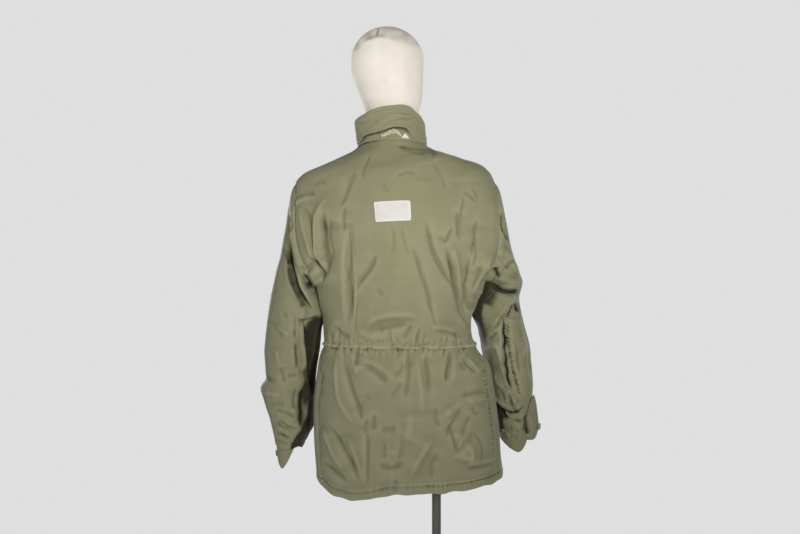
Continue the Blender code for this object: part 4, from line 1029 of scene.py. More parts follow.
# %% Lines of the fronts' creases
FRONT_CREASES = dict(
    chest_left=((5, 14, -6), 168, 1350, 162, 1290, 158, 1235, 160, 1195),
    chest_left_ridge=((10, 8, 3), 148, 1345, 146, 1290, 144, 1230),
    underarm_left=((7, 9, -5), 200, 1235, 185, 1205, 168, 1180),
    rib_left=((4, 9, -3), 140, 1150, 122, 1120, 112, 1085),
    rib_left_ridge=((6, 5, 2), 120, 1150, 100, 1120, 95, 1085),
    hip_left=((5, 12, -4.5), 150, 1020, 158, 960, 156, 900, 160, 850),
    hip_left_ridge=((8, 9, 4), 132, 1025, 136, 960, 138, 890),
    skirt_left=((5, 12, -3.4), 60, 1020, 72, 950, 68, 880, 78, 800),
    skirt_left_low=((6, 9, 2.6), 110, 880, 100, 830, 112, 780),
    hem_left=((3, 6, -2.4), 160, 820, 130, 800, 100, 790),
    chest_right=((12, 5, -6), -152, 1345, -146, 1290, -140, 1230, -143, 1185),
    chest_right_ridge=((8, 10, 3), -130, 1340, -128, 1285, -122, 1230),
    underarm_right=((7, 8, -5), -196, 1240, -180, 1208, -160, 1180),
    rib_right=((9, 4, -3), -128, 1155, -118, 1122, -120, 1085),
    hip_right=((9, 10, 4.5), -140, 1020, -152, 960, -150, 905),
    hip_right_trough=((9, 11, -5), -160, 1015, -172, 950, -170, 880),
    skirt_right=((11, 5, -3.6), -66, 1015, -74, 940, -70, 870, -82, 790),
    skirt_right_low=((8, 6, 2.6), -120, 890, -112, 840, -124, 790),
    hem_right=((8, 5, -3.4), -175, 880, -172, 830, -178, 790),
    neck_left=((4, 7, -2), 60, 1440, 90, 1400, 120, 1370),
    neck_right=((7, 4, -2), -50, 1440, -82, 1402, -112, 1372),
    armhole_left_a=((3, 7, -2.4), 190, 1300, 160, 1262, 120, 1240),
    armhole_left_b=((3, 6, -2.6), 188, 1262, 150, 1215, 118, 1188, 90, 1176),
    armhole_right_a=((7, 3, -2.4), -186, 1305, -150, 1266, -112, 1250),
    armhole_right_b=((6, 3, -2.6), -184, 1262, -148, 1218, -108, 1196),
    waist_left_a=((3, 5, -2.2), 150, 1110, 118, 1092, 84, 1082),
    waist_left_b=((3, 5, -1.8), 100, 1120, 76, 1098, 62, 1076),
    waist_right_a=((5, 3, -2.2), -150, 1112, -116, 1090, -82, 1080),
    waist_right_b=((5, 3, -1.8), -96, 1122, -76, 1100, -66, 1078),
    long_left=((3, 7, -2.4), 112, 1020, 118, 960, 112, 900, 120, 830, 116, 790),
    long_right=((7, 3, -2.4), -104, 1020, -112, 955, -106, 890, -116, 820),
    centre_left=((3, 5, -1.6), 40, 1035, 46, 985, 42, 930),
    centre_right=((5, 3, -1.6), -36, 1035, -44, 980, -40, 925),
)
FRONT_ROWS, FRONT_COLUMNS = 210, 84
WAIST_FRONT = tuple(range(22, 150, 17))
print(len(FRONT_CREASES), "creases in front")

# %% The fronts' cloth
for side, sign, seed in (("left", 1, 51), ("right", -1, 61)):
    levels = even_levels(0.0, LEVELS["neck"], FRONT_ROWS, -40.0)
    plain, normal = panel(side, levels, np.linspace(0, 1, FRONT_COLUMNS))
    u, v, x, z = measured(plain)
    waist = tuple(sign * place for place in WAIST_FRONT)
    relief = creases(x, z, FRONT_CREASES, 1.9) + creases(x, z, gathers(seed, waist, waist[1:]))
    low, high = sorted((sign * 20, sign * 220))
    relief += creases(x, z, ticks(seed + 1, 24, (low, high), (770, 1430), 0.6, (24, 80)))
    relief += crumple(u, v, seed + 2)
    sink = -0.0020 - 0.012 * fade((SHOULDER_Z + 0.01 - z) / 0.06)
    middle = u[:, -1:] - u
    relief = np.maximum(relief, sink) * fade(u / 0.010) * fade(middle / 0.02)
    relief += sewn_edge(u, v, seed + 3) * np.where(z > UNDERARM_Z, 0.35, 1.0) + hem_relief(v, u, seed + 4)
    points = plain + normal * relief[..., None]
    points[..., 1] += armhole_fill(u, z, -1.0)
    points[..., 0] += underarm_fill(u, z) * sign
    PANELS[side] = (points, normal, levels)
    wear_and_shade = wear_and_shade_of(relief, 0.5 * bell(u / 0.004) + hem_wear_and_shade(v, u, seed + 9), deep_from=BODY_DEEP)
    cloth("front_cloth_" + side, points, wear_and_shade, (u, v), ["front_" + side],
          facing=-sign)

# %% [markdown]
# ## The drawcord casing
# A narrow casing is sewn on at the waist and a cord in it draws the jacket in. The cord
# bulges along the casing's lower edge, which scallops between the gathers.

# %% The casing
CASING_ROWS = 26
CASING_SEAT = 0.0011        # over the panel at its sewn upper edge
CASING_CLOTH = 0.0006
CASING_SHARE = 0.66         # of its height, the part that is not lost in the gathers
CORD_BULGE = 0.0036


def casing(name, side, across, seed):
    """The strip round the waist on one panel, with the cord's bulge near its foot."""
    share = np.linspace(0.0, 1.0, CASING_ROWS)
    levels = LEVELS["casing_foot"] - 0.10 + share * CASING_SHARE
    points, out = lie_on(side, levels, across, 0.0)
    u, v = arc_lengths(points)
    share = share[:, None] + 0 * u
    slow = waves(u, 0 * u, 0.034, seed, count=6)
    notch = np.clip(waves(u, 0 * u, 0.013, seed + 1, count=9) - 0.25, 0.0, 1.0)
    cord = bell((share - 0.30) / 0.24)
    lift = CASING_SEAT + CORD_BULGE * cord * (1.0 + 0.30 * slow - 0.75 * notch)
    points = points + out * (lift - 0.0005 * fade((share - 0.6) / 0.4))[..., None]
    points[..., 2] += (0.0018 * slow + 0.0030 * notch) * fade(1.0 - share)
    # paler along the cord, partly rubbed wear and partly a painted highlight; painted shade in the notches
    # between the scallops
    cloth(name + "_strip", points, 0.4 + 1.9 * cord - 1.7 * notch, (u, v), [name],
          thick=CASING_CLOTH)


casing("casing_back", "back", np.linspace(0.0, 1.0, 260), 71)
for side, seed in (("left", 74), ("right", 77)):
    casing("casing_" + side, side, np.linspace(0.0, 0.875, 120), seed)

# %% [markdown]
# ## The sleeves
# The sleeves are cut with a bend and hang a little forward. They keep the wearer's elbow:
# a deep fold runs down from the back of the armhole, the elbow breaks over it, and the
# spare length stacks in rings above the cuff. Rings from shoulder to cuff carry the tube.
# The raw seam of the right sleeve is drawn up like a rope by its overlock thread. Deep in
# the folds, and on the inner side turned to the body, the cloth is darkened by painted shade.

# %% Sleeve sections
SLEEVE_COLUMNS = ("outer_x", "outer_z", "inner_x", "inner_z", "y_mid", "half_depth", "armhole")
SLEEVE_LEFT = dict(
    cap_top=(0.241, 1.392, 0.199, 1.174, -0.01, 0.061, 0.95),
    cap=(0.25, 1.354, 0.198, 1.161, -0.013, 0.067, 0.65),
    cap_low=(0.26, 1.304, 0.191, 1.143, -0.018, 0.073, 0.32),
    bicep=(0.27, 1.25, 0.182, 1.123, -0.023, 0.076, 0.1),
    upper_arm=(0.283, 1.192, 0.179, 1.097, -0.028, 0.076, 0),
    over_elbow=(0.295, 1.14, 0.1815, 1.068, -0.032, 0.074, 0),
    elbow_top=(0.304, 1.087, 0.1855, 1.034, -0.036, 0.072, 0),
    elbow=(0.309, 1.035, 0.1905, 0.996, -0.04, 0.069, 0),
    forearm=(0.3065, 0.988, 0.194, 0.958, -0.044, 0.066, 0),
    bulge=(0.315, 0.943, 0.1965, 0.921, -0.048, 0.063, 0),
    stack_top=(0.308, 0.902, 0.1975, 0.888, -0.051, 0.059, 0),
    stack=(0.296, 0.864, 0.2, 0.86, -0.053, 0.055, 0),
    wrist=(0.289, 0.836, 0.212, 0.835, -0.055, 0.051, 0),
    cuff=(0.285, 0.812, 0.224, 0.811, -0.056, 0.048, 0),
)
SLEEVE_RIGHT = dict(
    cap_top=(-0.223, 1.392, -0.196, 1.174, -0.012, 0.061, 0.95),
    cap=(-0.2325, 1.354, -0.193, 1.16, -0.016, 0.067, 0.65),
    cap_low=(-0.2445, 1.304, -0.186, 1.143, -0.021, 0.073, 0.32),
    bicep=(-0.257, 1.252, -0.179, 1.123, -0.027, 0.076, 0.1),
    upper_arm=(-0.278, 1.194, -0.177, 1.099, -0.034, 0.076, 0),
    over_elbow=(-0.2725, 1.143, -0.181, 1.07, -0.039, 0.074, 0),
    elbow_top=(-0.283, 1.09, -0.1875, 1.04, -0.046, 0.072, 0),
    elbow=(-0.296, 1.038, -0.196, 1.003, -0.054, 0.068, 0),
    forearm=(-0.303, 0.99, -0.205, 0.966, -0.061, 0.064, 0),
    bulge=(-0.306, 0.945, -0.211, 0.93, -0.066, 0.06, 0),
    stack_top=(-0.302, 0.91, -0.215, 0.9, -0.069, 0.056, 0),
    stack=(-0.298, 0.88, -0.22, 0.876, -0.071, 0.052, 0),
    wrist=(-0.295, 0.858, -0.224, 0.857, -0.072, 0.049, 0),
    cuff=(-0.292, 0.838, -0.227, 0.838, -0.072, 0.048, 0),
)
ARM_STEPS = 70
SLEEVE_START = 0.0003
CUFF_RING = len(SLEEVE_LEFT)

# %% Points of a sleeve
def armhole_loop(side):
    """The armhole: from the shoulder down the back's edge and up the front's."""
    levels = np.linspace(LEVELS["underarm"], LEVELS["shoulder_point"], ARM_STEPS + 1)
    back = panel("back", levels, [0.0 if side == "left" else 1.0])[0][:, 0]
    front = panel(side, levels, [0.0])[0][:, 0]
    middle = (back[[0, -1]] + front[[0, -1]]) / 2
    return np.concatenate([middle[1:], back[-2:0:-1], middle[:1], front[1:-1]])


def sleeve_ellipse(section, turns):
    """Points of a slanting ellipse through a section's outer and inner edge, and its middle."""
    c, n = np.cos(np.radians(turns)), np.sin(np.radians(turns))
    middle = [(section["outer_x"] + section["inner_x"]) / 2 + 0 * c, section["y_mid"] + 0 * c,
              (section["outer_z"] + section["inner_z"]) / 2 + 0 * c]
    half = [(section["outer_x"] - section["inner_x"]) / 2 * c, section["half_depth"] * n,
            (section["outer_z"] - section["inner_z"]) / 2 * c]
    middle = np.stack(middle, axis=-1)
    return middle + np.stack(half, axis=-1), middle


def sleeve_points(side, rings, turns):
    """A sleeve's plain points and outward directions: 0 degrees is out, 90 behind, 180 in."""
    loop = armhole_loop(side)
    under = len(loop) // 2
    y_behind, y_before = loop[under // 2][1], loop[under // 2 + under][1]
    first = (loop[0][0], loop[0][2], loop[under][0], loop[under][2],
             (y_behind + y_before) / 2, (y_behind - y_before) / 2, 1.0)
    table = {"armhole": first, **(SLEEVE_LEFT if side == "left" else SLEEVE_RIGHT)}
    ring, turn = np.meshgrid(np.asarray(rings, float), np.asarray(turns, float), indexing="ij")
    section = smooth_columns(SLEEVE_COLUMNS, table, ring)
    plain, middle = sleeve_ellipse(section, turn)
    round_it = np.arange(len(loop)) * 360.0 / len(loop)
    spare = loop - sleeve_ellipse(named(SLEEVE_COLUMNS, first), round_it)[0]
    where = np.mod(turn, 360.0) / 360.0 * len(loop)
    low = np.floor(where).astype(int) % len(loop)
    share = (where - np.floor(where))[..., None]
    fold_shade_here = spare[low] * (1 - share) + spare[(low + 1) % len(loop)] * share
    plain = plain + section["armhole"][..., None] * fold_shade_here
    return plain, unit(plain - middle)


print("left cuff at", np.round(sleeve_points("left", [CUFF_RING], [90])[0][0, 0], 3))

# %% Lines of the sleeves' creases behind
SLEEVE_LEFT_CREASES = dict(
    wrist_over=((5, 3, -5.5), 282, 877, 268, 874, 253, 864, 238, 860, 226, 860),
    wrist_over_light=((4, 4, 4), 278, 868, 262, 866, 248, 857, 236, 854),
    wrist_mid=((3, 4, -3.6), 273, 859, 262, 853, 250, 850, 238, 849),
    wrist_low=((4, 3, -4.5), 281, 848, 268, 846, 258, 842, 246, 832),
    wrist_low_light=((3, 3, 2.6), 272, 852, 258, 848, 246, 841),
    wedge_fold=((5, 4, -9), 206, 1256, 191, 1232, 176, 1204),
    pit_top=((16, 5, -11), 231, 1109, 214, 1105, 196, 1108, 182, 1118),
    pit_edge=((5, 20, -16), 218, 1112, 211, 1082, 209, 1048, 207, 1015, 201, 960, 197, 915),
    cap_pucker_a=((4, 4, -2.4), 248, 1342, 237, 1322, 232, 1302),
    cap_pucker_b=((4, 5, -3.2), 232, 1323, 241, 1310, 244, 1295),
    deep_fold=((8, 5, -21), 242, 1291, 243, 1260, 240, 1233, 234, 1209, 224, 1177, 208, 1146, 196, 1122),
    deep_fold_lip=((9, 5, 4), 256, 1262, 254, 1231, 251, 1204, 243, 1178, 228, 1150),
    inner_strip=((5, 4, 4), 225, 1204, 220, 1178, 206, 1149, 193, 1122),
    inner_slit=((3, 4, -13), 218, 1213, 211, 1198, 207, 1175, 194, 1157, 181, 1140),
    upper_soft_trough=((9, 7, -3), 265, 1269, 254, 1244, 250, 1226),
    elbow_edge=((6, 5, -4), 233, 1115, 233, 1085, 235, 1061),
    elbow_light=((8, 7, 6), 214, 1139, 217, 1117, 226, 1101),
    upright_dark=((3, 5, -4.5), 234, 1058, 233, 1034, 231, 1009, 232, 988),
    upright_light=((10, 9, 6), 219, 1061, 215, 1033, 214, 1006, 221, 984),
    outer_soft_a=((9, 9, -2.6), 301, 1105, 275, 1085, 260, 1058),
    outer_soft_b=((6, 7, -2.4), 262, 1114, 247, 1117),
    outer_light=((9, 9, 3), 284, 1088, 263, 1082, 245, 1064),
    mid_crease_a=((5, 7, -3.6), 271, 1004, 264, 982, 255, 958),
    mid_light=((10, 9, 3), 279, 1042, 272, 1014, 266, 988),
    notch=((5, 8, -3), 304, 966, 291, 967, 276, 963),
    notch_dark=((4, 6, -3), 255, 981, 243, 978, 227, 980),
    bulge_light=((16, 14, 4), 308, 938, 288, 937, 265, 933),
    bulge_under=((9, 9, -2.6), 298, 908, 277, 914, 255, 911),
    stack_dark_a=((6, 6, -4), 280, 891, 272, 900, 245, 889, 232, 878),
    stack_upright=((6, 7, -4), 232, 955, 237, 920, 234, 897),
    stack_knot=((6, 6, 3), 242, 903, 233, 897, 225, 902),
    stack_line_a=((5, 5, -5.5), 291, 869, 278, 868, 262, 861, 237, 854),
    stack_light_a=((5, 5, 4), 285, 859, 264, 854, 240, 848),
    stack_line_b=((4, 5, -4), 286, 846, 272, 842, 254, 837),
    stack_line_c=((4, 5, -3.6), 287, 825, 268, 829, 257, 823),
    stack_light_b=((5, 5, 3), 277, 823, 259, 818, 244, 811),
    inner_front_edge=((7, 6, 5), 198, 962, 206, 930, 213, 890, 219, 854),
    inner_front_dark=((10, 8, -12), 207, 961, 218, 932, 221, 891, 226, 855),
)
SLEEVE_RIGHT_CREASES = dict(
    wrist_inner=((5, 4, -6), -217, 919, -224, 900, -235, 886, -245, 871),
    wrist_inner_light=((4, 4, 4), -225, 915, -234, 898, -246, 884),
    wrist_outer=((4, 4, -5.5), -242, 940, -250, 919, -255, 904, -267, 890, -282, 887),
    wrist_outer_light=((4, 5, 4), -250, 934, -259, 914, -270, 900, -282, 897),
    wrist_small=((3, 3, -3.6), -262, 880, -272, 871, -281, 872),
    wrist_top=((4, 4, -3.4), -226, 946, -233, 928, -238, 914),
    gather_pit=((4, 6, -17), -192, 1226, -203, 1214, -214, 1206, -222, 1197),
    tongue_under=((5, 9, -8), -262, 1152, -248, 1128, -233, 1104),
    cap_trough=((4, 10, -10), -216, 1353, -217, 1330, -225, 1306, -244, 1278),
    cap_trough_lip=((8, 6, 2), -233, 1345, -242, 1314, -248, 1287),
    overhang_ridge=((16, 14, 7), -227, 1268, -237, 1247, -247, 1224, -267, 1197),
    overhang_crease=((5, 5, -5), -251, 1236, -240, 1226, -231, 1215),
    overhang_light=((8, 8, 3), -246, 1249, -234, 1231, -227, 1224),
    overhang_edge=((5, 14, 8), -212, 1195, -230, 1189, -248, 1184, -269, 1185, -278, 1189),
    overhang_under=((16, 4, -18), -204, 1189, -226, 1175, -250, 1171, -272, 1177),
    corner_hole=((4, 4, -6), -262, 1183, -266, 1185, -271, 1187),
    tongue_light=((16, 12, 8), -264, 1175, -249, 1150, -235, 1129, -217, 1109),
    tongue_low=((16, 5, 8), -260, 1172, -237, 1139, -219, 1108, -197, 1072),
    tongue_crease=((5, 5, -4.5), -218, 1080, -206, 1065, -196, 1056),
    second_tongue=((16, 14, 7), -205, 1062, -216, 1046, -225, 1022, -231, 993),
    side_slit=((5, 5, -10), -262, 1153, -267, 1135, -269, 1118),
    outer_soft=((12, 12, -2.4), -276, 1119, -285, 1079, -295, 1041),
    outer_light=((9, 9, 3), -272, 1078, -281, 1043, -278, 1010),
    long_slit_a=((3, 6, -18), -229, 1110, -231, 1092, -229, 1076, -233, 1060, -231, 1044, -236, 1028),
    long_slit_b=((4, 5, -14), -233, 1040, -237, 1020, -235, 1004, -240, 988, -239, 972, -247, 954,
        -250, 938),
    slit_lip=((6, 4, 4), -226, 1102, -225, 1060, -229, 1020, -232, 980, -241, 944),
    panel_fold=((5, 8, -5), -255, 1048, -262, 1030, -266, 1006, -272, 980),
    panel_light=((5, 5, 3), -247, 1062, -254, 1042, -259, 1020),
    outer_fold=((6, 5, -4), -291, 1070, -297, 1040, -299, 1005, -303, 970),
    seam_head=((4, 5, -6), -259, 1146, -250, 1134, -243, 1114),
    low_patch_a=((7, 7, -3.6), -229, 987, -234, 958, -247, 941),
    low_patch_b=((6, 7, 3), -217, 987, -219, 963, -235, 944),
    wrist_arc_a=((6, 6, 6), -218, 931, -231, 912, -245, 904, -262, 906, -280, 925),
    wrist_arc_b=((6, 5, -8), -214, 920, -228, 902, -246, 893, -266, 895, -284, 912),
    wrist_arc_c=((6, 6, -5.5), -223, 909, -240, 884, -263, 872, -284, 880),
    wrist_light_a=((5, 5, 3.6), -250, 902, -265, 891, -287, 885),
    wrist_light_b=((6, 5, 3.6), -231, 901, -251, 876, -275, 866),
    wrist_dark=((7, 7, -6), -220, 918, -231, 893, -240, 867),
    cuff_shadow=((6, 8, -4), -231, 842, -251, 841, -269, 849),
)
RIGHT_ARM_SEAM = [(-250, 1145), (-243, 1108), (-239, 1078), (-240, 1056), (-246, 1026), (-254, 992),
                  (-266, 950), (-275, 926)]
print(len(SLEEVE_LEFT_CREASES), "and", len(SLEEVE_RIGHT_CREASES), "creases on the sleeves")

# %% The sleeves' cloth
SLEEVE_ROWS, SLEEVE_TURNS = 200, 190
UNDERARM_PUCKERS = dict(left=((180, 214), (1162, 1228)), right=((-226, -186), (1200, 1262)))
INNER_SIDE_SHADE = dict(        # height, and how far round the inner side the sleeve is darkened by painted shade, 1 is not at all
    left=((0.81, 0.845, 0.885, 0.96, 1.095, 1.115), (0.05, 0.30, 0.70, 0.55, 0.42, 1)),
    right=((0.82, 0.88, 0.92, 1.03, 1.08, 1.17, 1.20), (0.6, 0.5, 0.9, 0.9, 0.75, 0.55, 1)),
)
PAINTED_FOLD_SHADE = dict(         # lines of painted shade in mm as for the creases; the last number is how dark
    left=dict(
        deep_fold=((12, 5, 2.9), 245, 1290, 243, 1250, 241, 1215, 230, 1178, 213, 1146, 196, 1120),
        inner_slit=((3, 4, 2.4), 216, 1211, 211, 1186, 194, 1150),
        cap_wedge=((3, 4, 2), 205, 1252, 190, 1222, 178, 1196),
        forearm=((9, 10, 3), 208, 972, 218, 932, 220, 900, 218, 872, 211, 845),
        elbow=((8, 12, 0.9), 232, 1090, 228, 1050, 224, 1000, 216, 960),
    ),
    right=dict(
        overhang=((20, 20, 2.9), -228, 1200, -210, 1174, -190, 1132),
        overhang_long=((9, 3, 2.4), -206, 1186, -228, 1176, -250, 1173, -268, 1178),
        inner_edge=((12, 10, 2.4), -186, 1150, -180, 1110, -186, 1072, -193, 1046),
        second_edge=((8, 6, 1.8), -186, 1030, -192, 1000, -200, 960, -208, 920),
        slit=((4, 5, 2.3), -230, 1112, -230, 1080, -233, 1050, -236, 1010, -240, 975, -250, 938),
        seam=((5, 4, 1.2), -244, 1108, -241, 1064, -248, 1020, -259, 971, -271, 930),
        under_fold=((3, 4, 1.1), -252, 1146, -236, 1112, -213, 1086),
        outer_slit=((3, 4, 2), -266, 1150, -270, 1122, -268, 1100),
        wrist=((5, 7, 2.2), -216, 926, -222, 893, -228, 852),
        wrist_fold=((5, 3, 1.4), -214, 922, -228, 903, -246, 893, -266, 896, -282, 910),
        flare_gap=((4, 5, 2.4), -285, 892, -284, 865, -280, 838),
        cap=((4, 8, 1.4), -216, 1350, -219, 1322, -232, 1294, -245, 1278),
    ),
)
SLEEVE_OUTLINE = dict(      # dents and bulges of the sleeves' outer line: height, reach and size in metres
    left=((0.969, 0.010, -0.0055), (0.943, 0.013, 0.0034)),
    right=((1.163, 0.012, -0.0050), (1.190, 0.010, 0.0030)),
)
SLEEVE_TUCK = (1.145, 0.045, 0.016)     # height, reach and depth of the cloth that fills the underarm
CUFF_STITCH = 0.014
APEX_TUCK = 0.004           # under the shoulder seam, so that no hole is left where three edges meet
SLEEVES = {}

for side, sign, table, seed in (("left", 1, SLEEVE_LEFT_CREASES, 81),
                                ("right", -1, SLEEVE_RIGHT_CREASES, 91)):
    fine = np.linspace(0, CUFF_RING, 300)
    rings = even_steps(sleeve_points(side, fine, [60.0])[0][:, 0], fine, SLEEVE_ROWS)
    turns = np.arange(SLEEVE_TURNS) * 360.0 / SLEEVE_TURNS
    plain, out = sleeve_points(side, rings, turns)
    u, v = arc_lengths(plain)
    u = u - u[:, -1:] * SLEEVE_TURNS / (SLEEVE_TURNS - 1) * (turns > 180)   # its ends meet under the arm
    x, z = plain[..., 0], plain[..., 2]
    behind, in_front = fade((out[..., 1] + 0.02) / 0.30), fade((-out[..., 1] - 0.02) / 0.30)
    span = sorted((sign * 175, sign * 315)), (820, 1360)
    relief = creases(x, z, table, 1.6) * behind
    relief += np.clip(creases(x, z, table, 1.0, 1.0, 0.012), -0.007, 0.007) * in_front
    relief += creases(x, z, ticks(seed + 5, 30, *span, 0.7, (20, 60))) * behind
    relief += creases(x, z, ticks(seed + 6, 40, *span, 1.0, (20, 60))) * (1.0 - behind)
    relief += creases(x, z, ticks(seed + 4, 24, *UNDERARM_PUCKERS[side], 2.6, (10, 24))) * behind
    if side == "right":
        roped = sewn_line(x, z, RIGHT_ARM_SEAM, seed + 7, depth=0.0018, pucker=0.0008, pitch=0.0090)
        roped += creases(x, z, rope(RIGHT_ARM_SEAM, seed + 11, 9.0, 6.5, 4.5, -6.5, 3.0))
        relief += roped * behind
    for level, reach, tall in SLEEVE_OUTLINE[side]:
        relief += tall * bell((z - level) / reach) * fade((sign * out[..., 0] - 0.5) / 0.4)
    to_cuff = v[-1:] - v
    relief += crumple(u, v, seed, 1.1)
    relief *= fade(v / 0.012) * (0.35 + 0.65 * fade(to_cuff / 0.03))
    relief += sewn_edge(v, u, seed + 8, 0.0005, 0.0004)
    relief += sewn_edge(to_cuff - CUFF_STITCH, u, seed + 9, 0.0010, 0.0008, 0.009)
    points = plain + out * relief[..., None]
    toward = np.sign(plain[:1, :, 1] - plain[0, :, 1].mean())
    points[..., 1] += armhole_fill(v, plain[:1, :, 2], toward)
    points[..., 2] += 0.0030 * waves(u, 0 * u, 0.045, seed + 10, count=6) * bell(to_cuff / 0.022)
    height, reach, tuck = SLEEVE_TUCK
    inner = bell((turns - 180.0) / 50.0) * bell((z - height) / reach, 4)
    points[..., 0] -= sign * tuck * inner * fade(v / 0.03)
    points[0, :, 0] += sign * SLEEVE_START
    apex = bell(((turns + 180.0) % 360.0 - 180.0) / 9.0)
    points[:3, :, 0] -= sign * APEX_TUCK * np.array([[1.0], [0.6], [0.2]]) * apex
    SLEEVES[side] = (points, out, rings)
    wear_and_shade = wear_and_shade_of(relief, 0.4 * bell(v / 0.004) + 0.5 * bell(to_cuff / 0.004), True)
    # painted shade on the inner side of the sleeve, turned to the body
    reach = np.interp(z, *INNER_SIDE_SHADE[side])
    wear_and_shade = wear_and_shade - 3.4 * fade((-np.cos(np.radians(turns)) - reach) / 0.22)
    # painted shade along the deep folds behind
    wear_and_shade = wear_and_shade - fold_shade_of(x, z, PAINTED_FOLD_SHADE[side]) * behind
    cloth("sleeve_cloth_" + side, points, wear_and_shade, (u, v), ["sleeve_" + side],
          facing=sign, closed=True)

# %% [markdown]
# ## The collar
# The stand-up collar is soft and has slumped to its left. On it lies a folded flap with
# a rolled lower edge. In the slit under that edge shows the twisted hanger tape.

# %% Points of the collar
COLLAR_X_MID = 0.0225
COLLAR_HALF_WIDTH = 0.0760
COLLAR_Y_BACK, COLLAR_Y_FRONT = 0.0720, -0.0700
COLLAR_TOP = dict(back=1.574, left=1.547, right=1.536, front=1.505)
COLLAR_SLOPE_LEFT, COLLAR_SLOPE_RIGHT = 2.5, 5.0
COLLAR_FRONT_GAP = 9.0
COLLAR_LIFT = 0.0018
WALL = 0.002                # the collar's two layers
# by degrees round the neck, how many mm its top edge has sagged
COLLAR_SAG = ((0, 24, 45, 70, 95, 112, 124, 136, 150, 180), (0, 3, 6.5, 5.5, 2.5, 0, 1, 6, 3, 0))


def collar_points(angle, rise):
    """Points of the collar: angle round the neck, rise 0 at the neckline to 1 at the top."""
    foot = ring_point(angle, np.full_like(angle, LEVELS["neck"]))
    foot[..., 2] += COLLAR_LIFT
    c, n = np.cos(np.radians(angle)), np.sin(np.radians(angle))
    side_z = np.where(c > 0, COLLAR_TOP["left"], COLLAR_TOP["right"])
    middle = np.where(n > 0, COLLAR_TOP["back"], COLLAR_TOP["front"])
    slope = np.where(c > 0, COLLAR_SLOPE_LEFT, COLLAR_SLOPE_RIGHT)
    height = middle + (side_z - middle) * np.abs(c) ** slope - 0.001 * np.interp(angle % 360.0, *COLLAR_SAG)
    top = np.stack([COLLAR_X_MID + COLLAR_HALF_WIDTH * c,
                    np.where(n > 0, COLLAR_Y_BACK, -COLLAR_Y_FRONT) * n, height], axis=-1)
    return foot + (top - foot) * rise[..., None], np.stack([c, n, np.zeros_like(c)], axis=-1)


COLLAR_CREASES = dict(
    top_roll=((3, 6, -2.2), 67, 1561, 48, 1564, 30, 1567, 12, 1571, -5, 1574),
    bright_band=((7, 5, 2.4), 60, 1523, 46, 1536, 32, 1546, 10, 1555, -30, 1546),
    band_under=((5, 3, -2.2), 42, 1526, 28, 1536, 14, 1543, -6, 1546),
    shelf=((3, 3, 1.6), 10, 1553, -6, 1552, -24, 1553),
    shelf_under=((4, 3, -2.6), 11, 1549, -4, 1546, -20, 1548, -32, 1551),
    upper_dent=((3, 3, -1.8), -2, 1560, -13, 1557, -26, 1560),
    right_dent=((5, 4, -2.4), -24, 1567, -38, 1545, -44, 1520, -46, 1504),
    left_slope=((4, 5, -1.6), 88, 1546, 80, 1532, 76, 1516),
    left_ridge=((4, 5, 2), 95, 1542, 80, 1547, 66, 1552, 50, 1558),
    left_under=((5, 3, -1.6), 92, 1535, 76, 1538, 60, 1546),
    foot_dent=((5, 3, -1.6), 60, 1512, 40, 1522, 22, 1527, 4, 1526),
    right_low=((3, 4, -1.8), -30, 1530, -44, 1520, -52, 1508),
)
COLLAR_COLUMNS, COLLAR_ROWS = 230, 54
# the lower edge of the flap: degrees round the neck, and share of the collar's height
FLAP_EDGE = dict(
    left_end=(12, 0.03),
    left_root=(27, 0.05),
    left_rise=(43, 0.22),
    shelf=(69, 0.24),
    peak=(95, 0.36),
    right_peak=(112, 0.33),
    right_fall=(119, 0.22),
    right_root=(127, 0.04),
    right_end=(168, 0.03),
)
print(len(COLLAR_CREASES), "creases on the collar")

# %% The collar's cloth
angles = np.linspace(-90 + COLLAR_FRONT_GAP, 270 - COLLAR_FRONT_GAP, COLLAR_COLUMNS)
rises = np.linspace(-0.035, 1.0, COLLAR_ROWS)
rise, angle = np.meshgrid(rises, angles, indexing="ij")
plain, out = collar_points(angle, rise)
u, v, x, z = measured(plain)
behind = fade((out[..., 1] + 0.1) / 0.3)
relief = creases(x, z, COLLAR_CREASES, 1.3) * behind + crumple(u, v, 101, 0.8)
relief += creases(x, z, ticks(103, 26, (-60, 100), (1500, 1570), 1.2, (10, 30)))
relief *= fade((1.02 - rise) / 0.1) * fade(rise / 0.12)
relief += sewn_edge(v[-1:] - v - 0.006, u, 105, 0.0006, 0.0004, 0.007, 0.006)
lap = 0.0019 * fade(1.0 - (rise - 0.01) / 0.07) + sewn_edge(v - 0.006, u, 107, 0.0005, 0.0006, 0.008)
points = plain + out * (relief + lap)[..., None]
wear_and_shade = wear_and_shade_of(relief, 0.7 * bell((v[-1:] - v) / 0.003) + 0.5 * bell(v / 0.003))
edge = np.interp(angle, *np.array(list(FLAP_EDGE.values())).T)
# painted shadow in the slit under the flap's lower edge
flap_shadow = bell(np.clip(edge - rise, -0.05, 1.0) / 0.085)
wear_and_shade -= 2.4 * flap_shadow * fade((angle - 24) / 16) * fade((126 - angle) / 14)
cloth("collar_cloth", points, wear_and_shade, (u, v), ["collar"], thick=WALL)

# %% The collar's flap
FLAP_REACH = WALL + 0.0020   # from the middle of the collar's cloth to the middle of the flap's
UPWARD = np.array([0.0, 0.0, 1.0])
FLAP_CURL = 0.0042          # how far the lower edge rolls out
FLAP_COLUMNS, FLAP_ROWS = 190, 40

